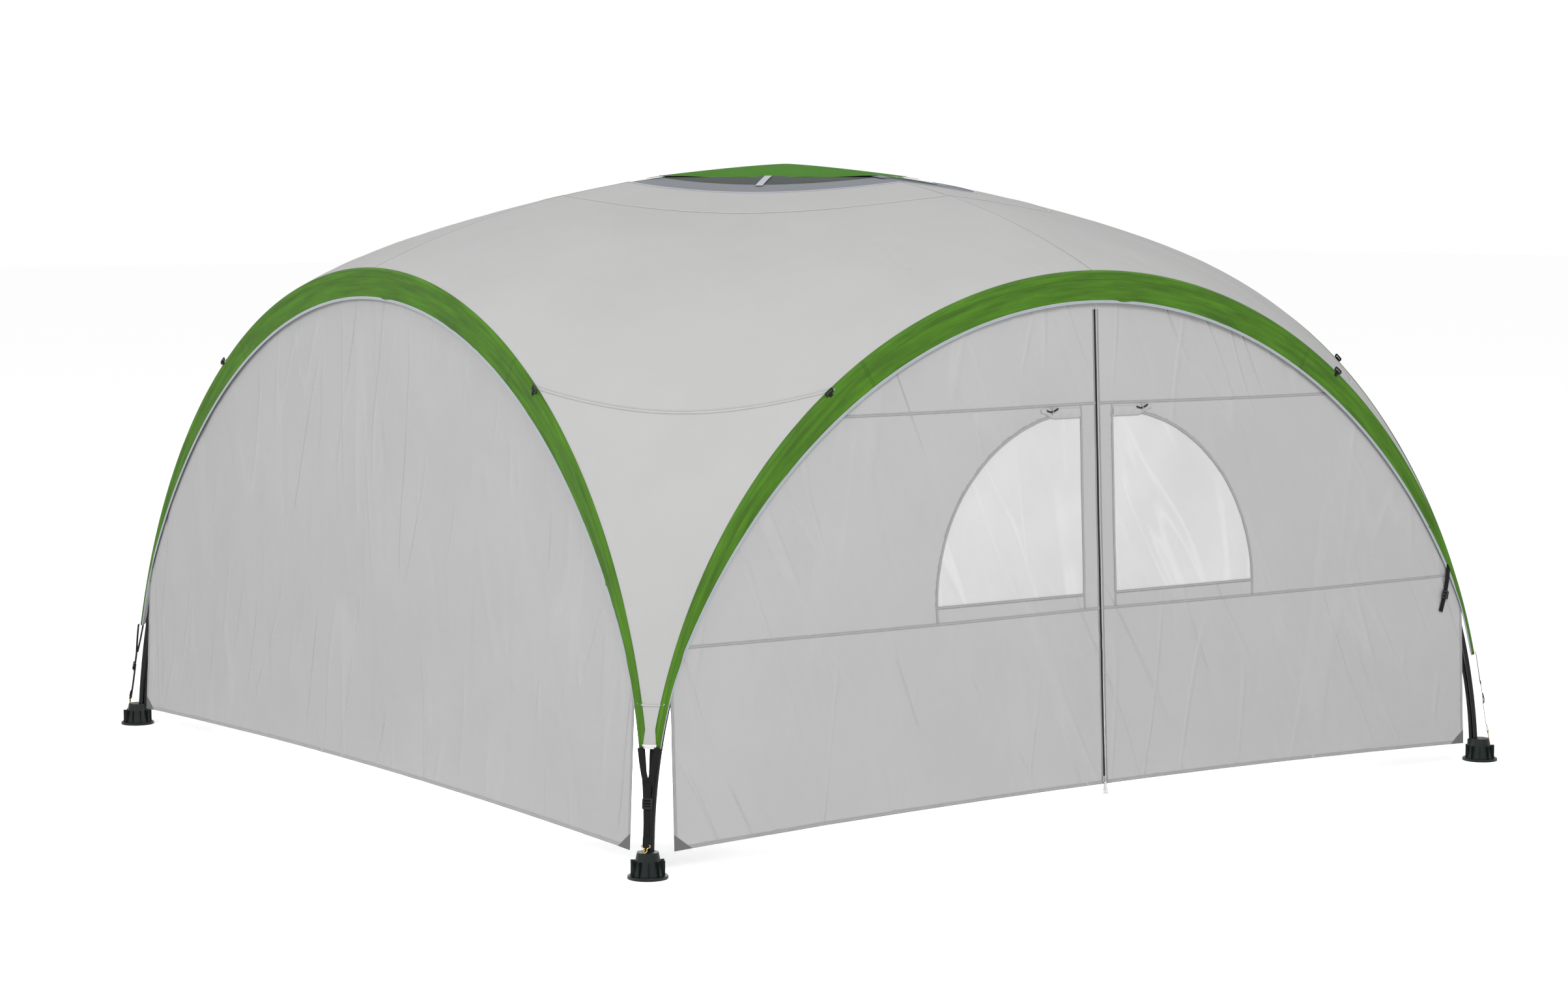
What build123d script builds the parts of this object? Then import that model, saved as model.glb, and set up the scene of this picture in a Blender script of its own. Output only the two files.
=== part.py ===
"""A dome event shelter: a pole frame, a four-cornered roof, a vented crown and two zip-on walls."""

from build123d import *
from math import acos, asin, atan2, cos, degrees, hypot, pi, radians, sin, sqrt
import os

# ---- driving dimensions, in millimetres -------------------------------------------------------
# The frame: origin on the ground at the middle, +Z up, the door wall on the -Y side.
HALF_SPAN = 1825.0  # half the roof fabric's side, at the ground line
ARCH_TOP = 1800.0  # height of a side arch's fabric edge
ARCH_LEAN = 70.0  # how far the top of an arch leans in
ROOF_TOP = 2150.0  # height of the roof surface at its centre
ROOF_WAIST = 650.0  # how much the panel between two arches is pulled in
FABRIC = 2.0  # thickness of every fabric sheet
TRIM = 1.0  # thickness of webbing patches and tapes
SEAM_GAP = 0.5  # each roof panel stops this far short of a seam line

POLE_R = 8.0  # pole tube, outside
POLE_WALL = 1.2
POLE_FOOT = 1798.0  # half width of an arch pole at the ground
POLE_TOP = 1784.0  # height of an arch pole along its plane
POLE_INSET = 12.0  # an arch pole's distance behind the fabric edge, at the ground
POLE_INSET_TOP = 32.0  # and at the top
ROOF_POLE_FOOT = 2536.0  # radius of a roof pole at the ground
ROOF_POLE_TOP = 2120.0
POLE_START = 16.0  # poles stand this high in the feet
ARCH_SECTIONS = 5
ROOF_SECTIONS = 3
FERRULE_R = 9.4
FERRULE_LENGTH = 46.0

FOOT_CENTRE = 1815.0  # each foot stands this far out in X and in Y
FOOT_FLANGE_R = 62.5
FOOT_FLANGE = 9.0
FOOT_TOP = 80.0
FOOT_BODY_R = 48.0
FOOT_NECK_R = 33.0
FOOT_RIBS = 10
RIB_START = -135.0 + 18.0  # so that the ribs stand clear of the peg holes
SOCKET_R = 9.2
PEG_HOLE_R = 4.5
PEG_HOLE_OUT = 53.5
PEG_HOLE_ANGLES = (radians(-135 + 40), radians(-135 - 40))

SEAM_RADIUS = 970.0  # round seam of the roof
VENT_RADIUS = 700.0
MESH_RADIUS = 560.0
HUB_RADIUS = 52.0  # hole in the mesh, over the hub
HUB_R = 44.0  # hub that joins the roof poles, and its thicker core
HUB_H = 26.0
HUB_CORE_R = 30.0
HUB_CORE_H = 34.0
HUB_POLE_END = 13.0  # the roof poles stop this far from its centre
LOWER_SEAM = 1450.0  # height of the seam that joins the corner panel
TIP_HEIGHT = 390.0  # where the corner panel ends
TIP_PATCH_TOP = 520.0
PATCH_OUT = 2.6  # a tip patch stands this far outside the roof
CAP_HALF = 560.0  # centre of the vent cap to its corners
CAP_TOP = 2170.0
CAP_EDGE = 2124.0
TIE_HALF = 13.0  # half width of a tape that ties the vent cap down
TIE_RADII = (600.0, 560.0, 520.0, 480.0, 440.0, 400.0)
ARCH_NODES = 9  # grid points of a roof panel along an arch, and along a seam
SEAM_NODES = 8
CORNER_STEPS = 14
SHOULDER_STEPS = 6

VALANCE_DEPTH = 100.0  # at the top of the arch
VALANCE_END = radians(73.5)  # where the valance runs out, as an angle round the arch
VALANCE_TAPER = radians(75.5)
BINDING = 10.0
ROOF_EDGE = 4.5  # the band starts this far below the arch's edge, under the roof fabric
GUY_TAB_ANGLE = asin(1100.0 / HALF_SPAN)
GUY_TAB = (34.0, 16.0)  # width and height of a guy loop's toggle
GUY_SLOT = (22.0, 5.0)

WALL_FOOT = 1822.0  # wall plane's distance from the centre, at the ground
WALL_LEAN = 0.044  # and how much it leans in, per unit of height
WALL_HALF = 1721.0  # half the wall's width at its hem
WALL_CORNER = 71.0  # height of the hem at its corners
WALL_MIDDLE = 100.0  # and in the middle
WALL_TOP_A = 1812.0  # half axes of the wall's arched top
WALL_TOP_B = 1786.0
HEADER_A = 1788.0  # half axes of the line between the door leaves and the strip above them
HEADER_B = 1713.0
SLIT = 1.6  # half the gap round a door leaf
LEAF_HINGE = 920.0  # a door leaf's fold line, from the zip
PATCH_W = 65.0
PATCH_H = 50.0

ZIP_X = 8.0  # the leaves part here, beside the coils
COIL_W = 8.0
COIL_T = 4.0
ZIP_TOP = 1680.0
WINDOW_IN = 68.0  # window's straight side, from the zip
WINDOW_SILL = 737.0
WINDOW_W = 622.0
WINDOW_H = 608.0
BLIND_R = 14.0
BLIND_LENGTH = 215.0
SLIDER_W = 13.0
SLIDER_H = 22.0
PULL_L = 42.0
HEM = 12.0  # width of the tape sewn along a hem

STRAP_TOP_R = 2545.0  # a corner strap's distance from the centre, at the roof's tip
STRAP_FOOT_R = 2592.0  # and at its hook
STRAP_HOOK_Z = 98.0
WEBBING = 20.0
YOKE = 105.0  # length of the forked upper part of a strap
LOCK_DOWN = 170.0  # the ladder lock's place, from the strap's top
LOCK = (29.0, 32.0)
HOOK_EYE = (28.0, 14.0)
TAIL_TURN = radians(66)  # where the spare strap is sewn on, as an angle round the arch
TAIL_DEPTH = 30.0

CORNERS = ["front_left", "front_right", "back_right", "back_left"]
SIDES = ["front", "right", "back", "left"]

ARCH_PLANE = Plane(
    origin=(0, -HALF_SPAN, 0), x_dir=(1, 0, 0), z_dir=(0, -1, ARCH_LEAN / ARCH_TOP)
)
POLE_LEAN = (ARCH_LEAN + POLE_INSET_TOP - POLE_INSET) / ARCH_TOP
POLE_PLANE = Plane(
    origin=(0, POLE_INSET - HALF_SPAN, 0), x_dir=(1, 0, 0), z_dir=(0, -1, POLE_LEAN)
)
WALL_PLANE = Plane(origin=(0, -WALL_FOOT, 0), x_dir=(1, 0, 0), z_dir=(0, -1, WALL_LEAN))

os.makedirs("parts", exist_ok=True)


# ---- helpers ----------------------------------------------------------------------------------
def save(part, name):
    """Labels a finished piece and writes its STEP file."""
    part.label = name
    export_step(part, f"parts/{name}.step")


def save_four(part, names):
    """Writes a piece at all four turns about the centre."""
    for turn, name in enumerate(names):
        save(part.rotate(Axis.Z, 90 * turn), name)


def roof_point(west, south):
    """The roof over the front left corner. west and south run from 0 at the centre to 1 at an arch."""
    x = west * (HALF_SPAN - ARCH_LEAN * west * sqrt(1 - south**2))
    y = south * (HALF_SPAN - ARCH_LEAN * south * sqrt(1 - west**2))
    droop = 1 - (ARCH_TOP / ROOF_TOP) ** 2
    square = 1 - droop * (west**2 + south**2) - (1 - 2 * droop) * (west * south) ** 2
    waist = ROOF_WAIST * west * south * ((1 - west**2) * (1 - south**2)) ** 2
    return Vector(-x, -y, ROOF_TOP * sqrt(max(square, 0)) - waist)


def drawn_in(rows):
    """A grid with its four borders moved in by the seam gap, so that it only nears its neighbours."""
    grid = [list(row) for row in rows]
    for border, inside in ((0, 1), (-1, -2)):
        for j, point in enumerate(rows[border]):
            grid[border][j] = point + (rows[inside][j] - point).normalized() * SEAM_GAP
    for row in grid:
        row[0] = row[0] + (row[1] - row[0]).normalized() * SEAM_GAP
        row[-1] = row[-1] + (row[-2] - row[-1]).normalized() * SEAM_GAP
    return grid


def sheet_solid(rows, thickness):
    """A closed solid between a grid of surface points and the same grid moved in by its thickness."""
    last_row = len(rows) - 1
    last = len(rows[0]) - 1
    inner = []
    for i, row in enumerate(rows):
        moved = []
        for j, point in enumerate(row):
            along = row[min(j + 1, last)] - row[max(j - 1, 0)]
            down = rows[min(i + 1, last_row)][j] - rows[max(i - 1, 0)][j]
            moved.append(point - along.cross(down).normalized() * thickness)
        inner.append(moved)
    quads = []
    for i in range(last_row):
        for j in range(last):
            quads.append((rows[i][j], rows[i][j + 1], rows[i + 1][j + 1], rows[i + 1][j]))
            quads.append((inner[i][j], inner[i + 1][j], inner[i + 1][j + 1], inner[i][j + 1]))
    for j in range(last):
        quads.append((rows[0][j], inner[0][j], inner[0][j + 1], rows[0][j + 1]))
        quads.append((rows[-1][j], rows[-1][j + 1], inner[-1][j + 1], inner[-1][j]))
    for i in range(last_row):
        quads.append((rows[i][0], rows[i + 1][0], inner[i + 1][0], inner[i][0]))
        quads.append((rows[i][-1], inner[i][-1], inner[i + 1][-1], rows[i + 1][-1]))
    faces = []
    for a, b, c, d in quads:
        faces.append(Face(Wire.make_polygon([a, b, c], close=True)))
        faces.append(Face(Wire.make_polygon([a, c, d], close=True)))
    return Solid(Shell(faces))


def between(inner, outer, steps):
    """Rows of roof points on straight lines, in west and south, from one border to another."""
    rows = []
    for step in range(steps + 1):
        share = step / steps
        row = []
        for (w0, s0), (w1, s1) in zip(inner, outer):
            row.append(roof_point(w0 + (w1 - w0) * share, s0 + (s1 - s0) * share))
        rows.append(row)
    return rows


def ring(radius, count):
    """West and south of a quarter circle of that radius, from the front axis round to the left one."""
    reach = radius / (HALF_SPAN - ARCH_LEAN * radius / HALF_SPAN)
    return [
        (reach * sin(pi / 2 * i / count), reach * cos(pi / 2 * i / count))
        for i in range(count + 1)
    ]


def level(height, count):
    """West and south of the line at one height from the front arch across to the left arch."""
    part_up = height / ARCH_TOP
    turns = [pi / 2 * i / count for i in range(count + 1)]
    return [
        (sqrt(1 - (part_up * cos(t)) ** 2), sqrt(1 - (part_up * sin(t)) ** 2)) for t in turns
    ]


def arch_edge(turn, depth=0.0):
    """A point of the fabric arch in its plane, moved in by depth. turn is 0 at the top."""
    nx = sin(turn) / HALF_SPAN
    ny = cos(turn) / ARCH_TOP
    size = hypot(nx, ny)
    return (
        HALF_SPAN * sin(turn) - depth * nx / size,
        ARCH_TOP * cos(turn) - depth * ny / size,
    )


def valance_depth(turn):
    """Depth of the green band, which tapers down the arch."""
    return VALANCE_DEPTH * max(0.0, 1 - (abs(turn) / VALANCE_TAPER) ** 3)


def ellipse_height(x, half_width, height):
    """Height of an arch of those half axes at x."""
    return height * sqrt(1 - (x / half_width) ** 2)


def hem_height(x):
    """Height of a wall's hem, which rises towards the middle."""
    return WALL_CORNER + (WALL_MIDDLE - WALL_CORNER) * (1 - (x / WALL_HALF) ** 2)


def top_arc(x0, x1, half_width, height):
    """The stretch of an arch from x0 to x1, drawn in the current BuildLine."""
    angles = [degrees(acos(x / half_width)) for x in (x1, x0)]
    size = angles[1] - angles[0]
    return EllipticalCenterArc((0, 0), half_width, height, angles[0], arc_size=size)


# ---- feet -------------------------------------------------------------------------------------
def foot_sockets():
    """Where the three poles enter a foot, from its centre, and each pole's direction."""
    middle = (POLE_START + FOOT_TOP) / 2
    half = ellipse_height(middle, POLE_TOP, POLE_FOOT)
    behind = HALF_SPAN - POLE_INSET - POLE_LEAN * middle
    spread = POLE_FOOT * middle / POLE_TOP**2
    roof_pole = ellipse_height(middle, ROOF_POLE_TOP, ROOF_POLE_FOOT) / sqrt(2)
    inward = ROOF_POLE_FOOT * middle / ROOF_POLE_TOP**2 / sqrt(2)
    return [
        ((FOOT_CENTRE - half, FOOT_CENTRE - behind), (spread, POLE_LEAN, 1)),
        ((FOOT_CENTRE - behind, FOOT_CENTRE - half), (POLE_LEAN, spread, 1)),
        ((FOOT_CENTRE - roof_pole,) * 2, (inward, inward, 1)),
    ]


with BuildPart() as foot:
    with Locations((-FOOT_CENTRE, -FOOT_CENTRE, 0)):
        Cylinder(FOOT_FLANGE_R, FOOT_FLANGE, align=(Align.CENTER, Align.CENTER, Align.MIN))
    chamfer(foot.edges().group_by(Axis.Z)[-1], 2)
    with Locations((-FOOT_CENTRE, -FOOT_CENTRE, FOOT_FLANGE)):
        Cone(
            FOOT_BODY_R,
            FOOT_NECK_R,
            FOOT_TOP - FOOT_FLANGE,
            align=(Align.CENTER, Align.CENTER, Align.MIN),
        )
    socket_list = foot_sockets()
    boss_x, boss_y = socket_list[2][0]
    with Locations((boss_x - FOOT_CENTRE, boss_y - FOOT_CENTRE, 0)):
        Cylinder(SOCKET_R + 5, FOOT_TOP - 4, align=(Align.CENTER, Align.CENTER, Align.MIN))
    with Locations((-FOOT_CENTRE, -FOOT_CENTRE, 0)):
        with PolarLocations(0, FOOT_RIBS, start_angle=RIB_START):
            with Locations((FOOT_BODY_R - 3, 0, FOOT_FLANGE)):
                Wedge(18, 3.5, 46, 0, 0, 2, 3.5, align=(Align.CENTER, Align.CENTER, Align.MIN))
    for (sx, sy), direction in socket_list:
        middle_height = (POLE_START + FOOT_TOP) / 2
        centre = (sx - FOOT_CENTRE, sy - FOOT_CENTRE, middle_height)
        with BuildSketch(Plane(origin=centre, z_dir=direction).offset(-middle_height + POLE_START - 3)):
            Circle(SOCKET_R)
        extrude(amount=FOOT_TOP, mode=Mode.SUBTRACT)
    with Locations((-FOOT_CENTRE, -FOOT_CENTRE, FOOT_FLANGE)):
        with Locations(*[(PEG_HOLE_OUT * cos(a), PEG_HOLE_OUT * sin(a)) for a in PEG_HOLE_ANGLES]):
            Cylinder(PEG_HOLE_R, 4 * FOOT_FLANGE, mode=Mode.SUBTRACT)
save_four(foot.part, [f"foot_{corner}" for corner in CORNERS])


# ---- poles ------------------------------------------------------------------------------------
def tube_along(path):
    """The annulus of the pole's tube, swept along the edge that is being built."""
    with BuildSketch(Plane(origin=path @ 0, z_dir=path % 0)) as section:
        Circle(POLE_R)
        Circle(POLE_R - POLE_WALL, mode=Mode.SUBTRACT)
    sweep(section.sketch, path=path)


arch_start = degrees(asin(POLE_START / POLE_TOP))
arch_step = (180 - 2 * arch_start) / ARCH_SECTIONS
with BuildPart() as arch_pole:
    for section in range(ARCH_SECTIONS):
        with BuildLine(POLE_PLANE) as path:
            start = arch_start + section * arch_step
            EllipticalCenterArc((0, 0), POLE_FOOT, POLE_TOP, start, arc_size=arch_step - 0.01)
        tube_along(path.edges()[0])
save_four(arch_pole.part, [f"arch_pole_{side}" for side in SIDES])

roof_plane = Plane(origin=(0, 0, 0), x_dir=(-1, -1, 0), z_dir=(-1, 1, 0))
roof_start = degrees(asin(POLE_START / ROOF_POLE_TOP))
roof_end = degrees(acos(16 / ROOF_POLE_FOOT))
roof_step = (roof_end - roof_start) / ROOF_SECTIONS
with BuildPart() as roof_pole:
    for section in range(ROOF_SECTIONS):
        with BuildLine(roof_plane) as path:
            start = roof_start + section * roof_step
            EllipticalCenterArc(
                (0, 0), ROOF_POLE_FOOT, ROOF_POLE_TOP, start, arc_size=roof_step - 0.01
            )
        tube_along(path.edges()[0])
save_four(roof_pole.part, [f"roof_pole_{corner}" for corner in CORNERS])


def ferrules_on(plane, half_width, height, angles):
    """Metal collars over the joints of one pole, each bored with a running clearance."""
    for angle in angles:
        centre = (half_width * cos(radians(angle)), height * sin(radians(angle)))
        along = (-half_width * sin(radians(angle)), height * cos(radians(angle)))
        direction = plane.x_dir * along[0] + plane.y_dir * along[1]
        middle = plane.from_local_coords((*centre, 0))
        with BuildSketch(Plane(origin=middle, z_dir=direction)) as collar:
            Circle(FERRULE_R)
            Circle(POLE_R + 0.3, mode=Mode.SUBTRACT)
        extrude(collar.sketch, amount=FERRULE_LENGTH / 2, both=True)


with BuildPart() as ferrule_set:
    arch_joints = [arch_start + i * arch_step for i in range(1, ARCH_SECTIONS)]
    roof_joints = [roof_start + i * roof_step for i in range(1, ROOF_SECTIONS)]
    ferrules_on(POLE_PLANE, POLE_FOOT, POLE_TOP, arch_joints)
    ferrules_on(roof_plane, ROOF_POLE_FOOT, ROOF_POLE_TOP, roof_joints)
all_ferrules = []
for turn in range(4):
    all_ferrules.extend(ferrule_set.part.rotate(Axis.Z, 90 * turn).solids())
save(Compound(children=all_ferrules), "pole_ferrules")

with BuildPart() as hub:
    with Locations((0, 0, ROOF_POLE_TOP)):
        Cylinder(HUB_R, HUB_H)
        Cylinder(HUB_CORE_R, HUB_CORE_H)
    fillet(hub.edges().group_by(Axis.Z)[-1], 2)
    for turn in range(4):
        direction = (cos(radians(45 + 90 * turn)), sin(radians(45 + 90 * turn)), 0)
        with BuildSketch(Plane(origin=(0, 0, ROOF_POLE_TOP), z_dir=direction).offset(HUB_POLE_END)):
            Circle(POLE_R + 0.4)
        extrude(amount=HUB_R, mode=Mode.SUBTRACT)
save(hub.part, "crown_hub")


# ---- roof -------------------------------------------------------------------------------------
seam_turn = acos(LOWER_SEAM / ARCH_TOP)
arch_side = [(sin(seam_turn * i / ARCH_NODES), 1.0) for i in range(ARCH_NODES)]
shoulder_border = arch_side + level(LOWER_SEAM, SEAM_NODES) + [(s, w) for w, s in arch_side[::-1]]
border_count = len(shoulder_border) - 1


def roof_sheet(inner, outer, steps):
    """One roof panel of the front left corner."""
    return sheet_solid(drawn_in(between(inner, outer, steps)), FABRIC)


corner_rows = []
for step in range(CORNER_STEPS + 1):
    height = LOWER_SEAM + (TIP_HEIGHT - LOWER_SEAM) * step / CORNER_STEPS
    corner_rows.append([roof_point(w, s) for w, s in level(height, SEAM_NODES)])
with BuildPart() as shoulder:
    add(roof_sheet(ring(SEAM_RADIUS, border_count), shoulder_border, SHOULDER_STEPS))
with BuildPart() as corner_panel:
    add(sheet_solid(drawn_in(corner_rows), FABRIC))
save_four(shoulder.part, [f"roof_panel_{corner}" for corner in CORNERS])
save_four(corner_panel.part, [f"roof_corner_{corner}" for corner in CORNERS])


def four_sheets(inner_radius, outer_radius, steps):
    """A ring of four sheets, one per corner, as separate solids."""
    quarter = roof_sheet(ring(inner_radius, border_count), ring(outer_radius, border_count), steps)
    return [quarter.rotate(Axis.Z, 90 * turn) for turn in range(4)]


save(Compound(children=four_sheets(VENT_RADIUS, SEAM_RADIUS, 2)), "roof_crown")
save(Compound(children=four_sheets(MESH_RADIUS, VENT_RADIUS, 1)), "vent_ring")
save(Compound(children=four_sheets(HUB_RADIUS, MESH_RADIUS, 3)), "vent_mesh")

patch_rows = []
for height in (TIP_PATCH_TOP, (TIP_PATCH_TOP + TIP_HEIGHT) / 2, TIP_HEIGHT):
    row = [roof_point(w, s) for w, s in level(height, SEAM_NODES)]
    patch_rows.append([point + Vector(-1, -1, 0).normalized() * PATCH_OUT for point in row])
tip_patch = sheet_solid(patch_rows, TRIM)
save(Compound(children=[tip_patch.rotate(Axis.Z, 90 * t) for t in range(4)]), "tip_patches")


# ---- vent cap ---------------------------------------------------------------------------------
def cap_row(share, count=6):
    """One row of the cap's front left quarter, from its front corner to its left corner."""
    row = []
    for i in range(count + 1):
        west = share * CAP_HALF * i / count
        south = share * CAP_HALF * (1 - i / count)
        row.append(Vector(-west, -south, CAP_TOP - (CAP_TOP - CAP_EDGE) * share**1.3))
    return row


cap_quarter = sheet_solid([cap_row(0.02 + 0.98 * i / 5) for i in range(6)], FABRIC)
save(Compound(children=[cap_quarter.rotate(Axis.Z, 90 * t) for t in range(4)]), "vent_cap")

tie_rows = []
for radius in TIE_RADII:
    row = []
    for side in (-TIE_HALF, 0, TIE_HALF):
        reach = [(radius + turn * side) / sqrt(2) / HALF_SPAN * 1.01 for turn in (-1, 1)]
        row.append(roof_point(*reach) + Vector(0, 0, TRIM + 1.5))
    tie_rows.append(row[::-1])
vent_tie = sheet_solid(tie_rows, TRIM)
save(Compound(children=[vent_tie.rotate(Axis.Z, 90 * t) for t in range(4)]), "vent_ties")


# ---- arch valances ----------------------------------------------------------------------------
def band_between(near, far, end, count=28):
    """The face between two depths below the arch's edge, drawn in the current BuildSketch."""
    turns = [end * (2 * i / count - 1) for i in range(count + 1)]
    with BuildLine() as outline:
        upper = Spline(*[arch_edge(t, near(t)) for t in turns])
        lower = Spline(*[arch_edge(t, far(t)) for t in turns])
        Line(upper @ 0, lower @ 0)
        Line(upper @ 1, lower @ 1)
    make_face(outline.edges())


with BuildPart() as valance:
    with BuildSketch(ARCH_PLANE):
        band_between(lambda t: ROOF_EDGE, lambda t: max(valance_depth(t) - BINDING, 8), VALANCE_END)
    extrude(amount=-FABRIC)
save_four(valance.part, [f"valance_{side}" for side in SIDES])

tip_turn = acos(TIP_HEIGHT / ARCH_TOP)
with BuildPart() as binding:
    with BuildSketch(ARCH_PLANE):
        band_between(
            lambda t: max(valance_depth(t) - BINDING, 8) + 0.2,
            lambda t: max(valance_depth(t), BINDING + 8),
            tip_turn,
        )
    extrude(amount=-FABRIC)
save(
    Compound(children=[binding.part.rotate(Axis.Z, 90 * t).solids()[0] for t in range(4)]),
    "valance_bindings",
)

with BuildPart() as guy_pair:
    for side in (-1, 1):
        tab_x, tab_y = arch_edge(side * GUY_TAB_ANGLE, -9)
        lean = -side * degrees(atan2(tab_x * side / HALF_SPAN**2, tab_y / ARCH_TOP**2))
        with BuildSketch(ARCH_PLANE.offset(0.4)):
            with Locations(Location((tab_x, tab_y), lean)):
                RectangleRounded(*GUY_TAB, 5)
                Rectangle(*GUY_SLOT, mode=Mode.SUBTRACT)
        extrude(amount=4)
guy_tabs = []
for turn in range(4):
    guy_tabs.extend(guy_pair.part.rotate(Axis.Z, 90 * turn).solids())
save(Compound(children=guy_tabs), "guy_loops")


# ---- corner straps ----------------------------------------------------------------------------
strap_up = Vector(STRAP_FOOT_R - STRAP_TOP_R, STRAP_FOOT_R - STRAP_TOP_R, 0) / sqrt(2)
strap_up = (strap_up + Vector(0, 0, TIP_HEIGHT - STRAP_HOOK_Z)).normalized()
strap_foot = Vector(-STRAP_FOOT_R / sqrt(2), -STRAP_FOOT_R / sqrt(2), STRAP_HOOK_Z)
strap_plane = Plane(
    origin=strap_foot, x_dir=(1, -1, 0), z_dir=Vector(1, -1, 0).cross(strap_up)
)
strap_length = hypot(STRAP_FOOT_R - STRAP_TOP_R, TIP_HEIGHT - STRAP_HOOK_Z)
junction = strap_length - YOKE
lock_place = strap_length - LOCK_DOWN

with BuildPart() as yoke:
    with BuildSketch(strap_plane):
        for side in (-1, 1):
            with BuildLine():
                Polyline(
                    (0, junction - 12),
                    (side * WEBBING / 2, junction),
                    (side * (WEBBING / 2 + 20), strap_length - 2),
                    (side * 8, strap_length - 2),
                    (0, junction + 25),
                    close=True,
                )
            make_face()
        with Locations((0, (junction + lock_place) / 2)):
            Rectangle(WEBBING, junction - lock_place)
    extrude(amount=TRIM + 0.5)
    with BuildSketch(strap_plane.offset(-1)):
        with Locations((0, lock_place / 2 + 2)):
            Rectangle(WEBBING, lock_place + 2)
    extrude(amount=TRIM)
save_four(yoke.part, [f"corner_strap_{corner}" for corner in CORNERS])

with BuildPart() as ladder_lock:
    with BuildSketch(strap_plane.offset(TRIM + 0.7)):
        with Locations((0, lock_place + 6)):
            RectangleRounded(*LOCK, 3)
            with Locations((0, 7), (0, -7)):
                Rectangle(21, 4.5, mode=Mode.SUBTRACT)
    extrude(amount=5)
with BuildPart() as hook:
    with BuildSketch(strap_plane.offset(TRIM + 1.2)):
        with Locations((0, 2)):
            RectangleRounded(*HOOK_EYE, 5)
            Rectangle(21, 7, mode=Mode.SUBTRACT)
        with Locations((0, -9)):
            RectangleRounded(12, 14, 5)
            Circle(2.6, mode=Mode.SUBTRACT)
    extrude(amount=3)
for group, name in ((ladder_lock, "ladder_locks"), (hook, "strap_hooks")):
    copies = []
    for turn in range(4):
        copies.extend(group.part.rotate(Axis.Z, 90 * turn).solids())
    save(Compound(children=copies), name)


# ---- walls ------------------------------------------------------------------------------------
def wall_outline(x0, x1, half_width, height, lift=0.0):
    """The face of a wall between x0 and x1, from its hem up to an arch, in the current BuildSketch."""
    with BuildLine() as outline:
        hem = Spline(*[(x0 + (x1 - x0) * i / 6, hem_height(x0 + (x1 - x0) * i / 6)) for i in range(7)])
        top_arc(x0, x1, half_width, height - lift)
        Line(hem @ 0, (x0, ellipse_height(x0, half_width, height - lift)))
        Line(hem @ 1, (x1, ellipse_height(x1, half_width, height - lift)))
    make_face(outline.edges())


with BuildPart() as side_wall:
    with BuildSketch(WALL_PLANE):
        wall_outline(-WALL_HALF, WALL_HALF, WALL_TOP_A, WALL_TOP_B)
    extrude(amount=-FABRIC)
save(side_wall.part.rotate(Axis.Z, -90), "side_wall")

with BuildPart() as door_wall_left:
    with BuildSketch(WALL_PLANE):
        wall_outline(-WALL_HALF, -LEAF_HINGE - SLIT, WALL_TOP_A, WALL_TOP_B)
    extrude(amount=-FABRIC)
save(door_wall_left.part, "door_wall_left")

with BuildPart() as door_wall_right:
    with BuildSketch(WALL_PLANE):
        wall_outline(LEAF_HINGE + SLIT, WALL_HALF, WALL_TOP_A, WALL_TOP_B)
    extrude(amount=-FABRIC)
save(door_wall_right.part, "door_wall_right")

with BuildPart() as door_header:
    with BuildSketch(WALL_PLANE):
        with BuildLine():
            top_arc(-LEAF_HINGE + 0.5, LEAF_HINGE - 0.5, WALL_TOP_A, WALL_TOP_B)
            top_arc(-LEAF_HINGE + 0.5, LEAF_HINGE - 0.5, HEADER_A, HEADER_B + SLIT)
            for x in (-LEAF_HINGE + 0.5, LEAF_HINGE - 0.5):
                Line(
                    (x, ellipse_height(x, HEADER_A, HEADER_B + SLIT)),
                    (x, ellipse_height(x, WALL_TOP_A, WALL_TOP_B)),
                )
        make_face()
    extrude(amount=-FABRIC)
save(door_header.part, "door_header")


def window_outline(side, grow=0.0):
    """A quarter-round window beside the zip, in the current BuildSketch."""
    x0 = side * (WINDOW_IN - grow)
    x1 = side * (WINDOW_IN + WINDOW_W + grow)
    low = WINDOW_SILL - grow
    high = WINDOW_SILL + WINDOW_H + grow
    with BuildLine() as outline:
        Polyline((x1, low), (x0, low), (x0, high))
        EllipticalCenterArc(
            (x0, low),
            abs(x1 - x0),
            high - low,
            0 if side > 0 else 90,
            arc_size=90,
        )
    make_face(outline.edges())


def door_leaf(side):
    """One door leaf, from its fold line to the zip, with its window cut out."""
    with BuildPart() as leaf:
        with BuildSketch(WALL_PLANE):
            if side < 0:
                wall_outline(SLIT - LEAF_HINGE, ZIP_X - SLIT / 2, HEADER_A, HEADER_B, SLIT)
            else:
                wall_outline(ZIP_X + SLIT / 2, LEAF_HINGE - SLIT, HEADER_A, HEADER_B, SLIT)
        extrude(amount=-FABRIC)
        with BuildSketch(WALL_PLANE):
            window_outline(side)
        extrude(amount=-FABRIC, mode=Mode.SUBTRACT)
    return leaf.part


def window_film(side):
    """The clear film that fills a window, a little thinner than the fabric."""
    with BuildPart() as film:
        with BuildSketch(WALL_PLANE.offset(-FABRIC / 4)):
            window_outline(side)
        extrude(amount=-FABRIC / 2)
    return film.part


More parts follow.
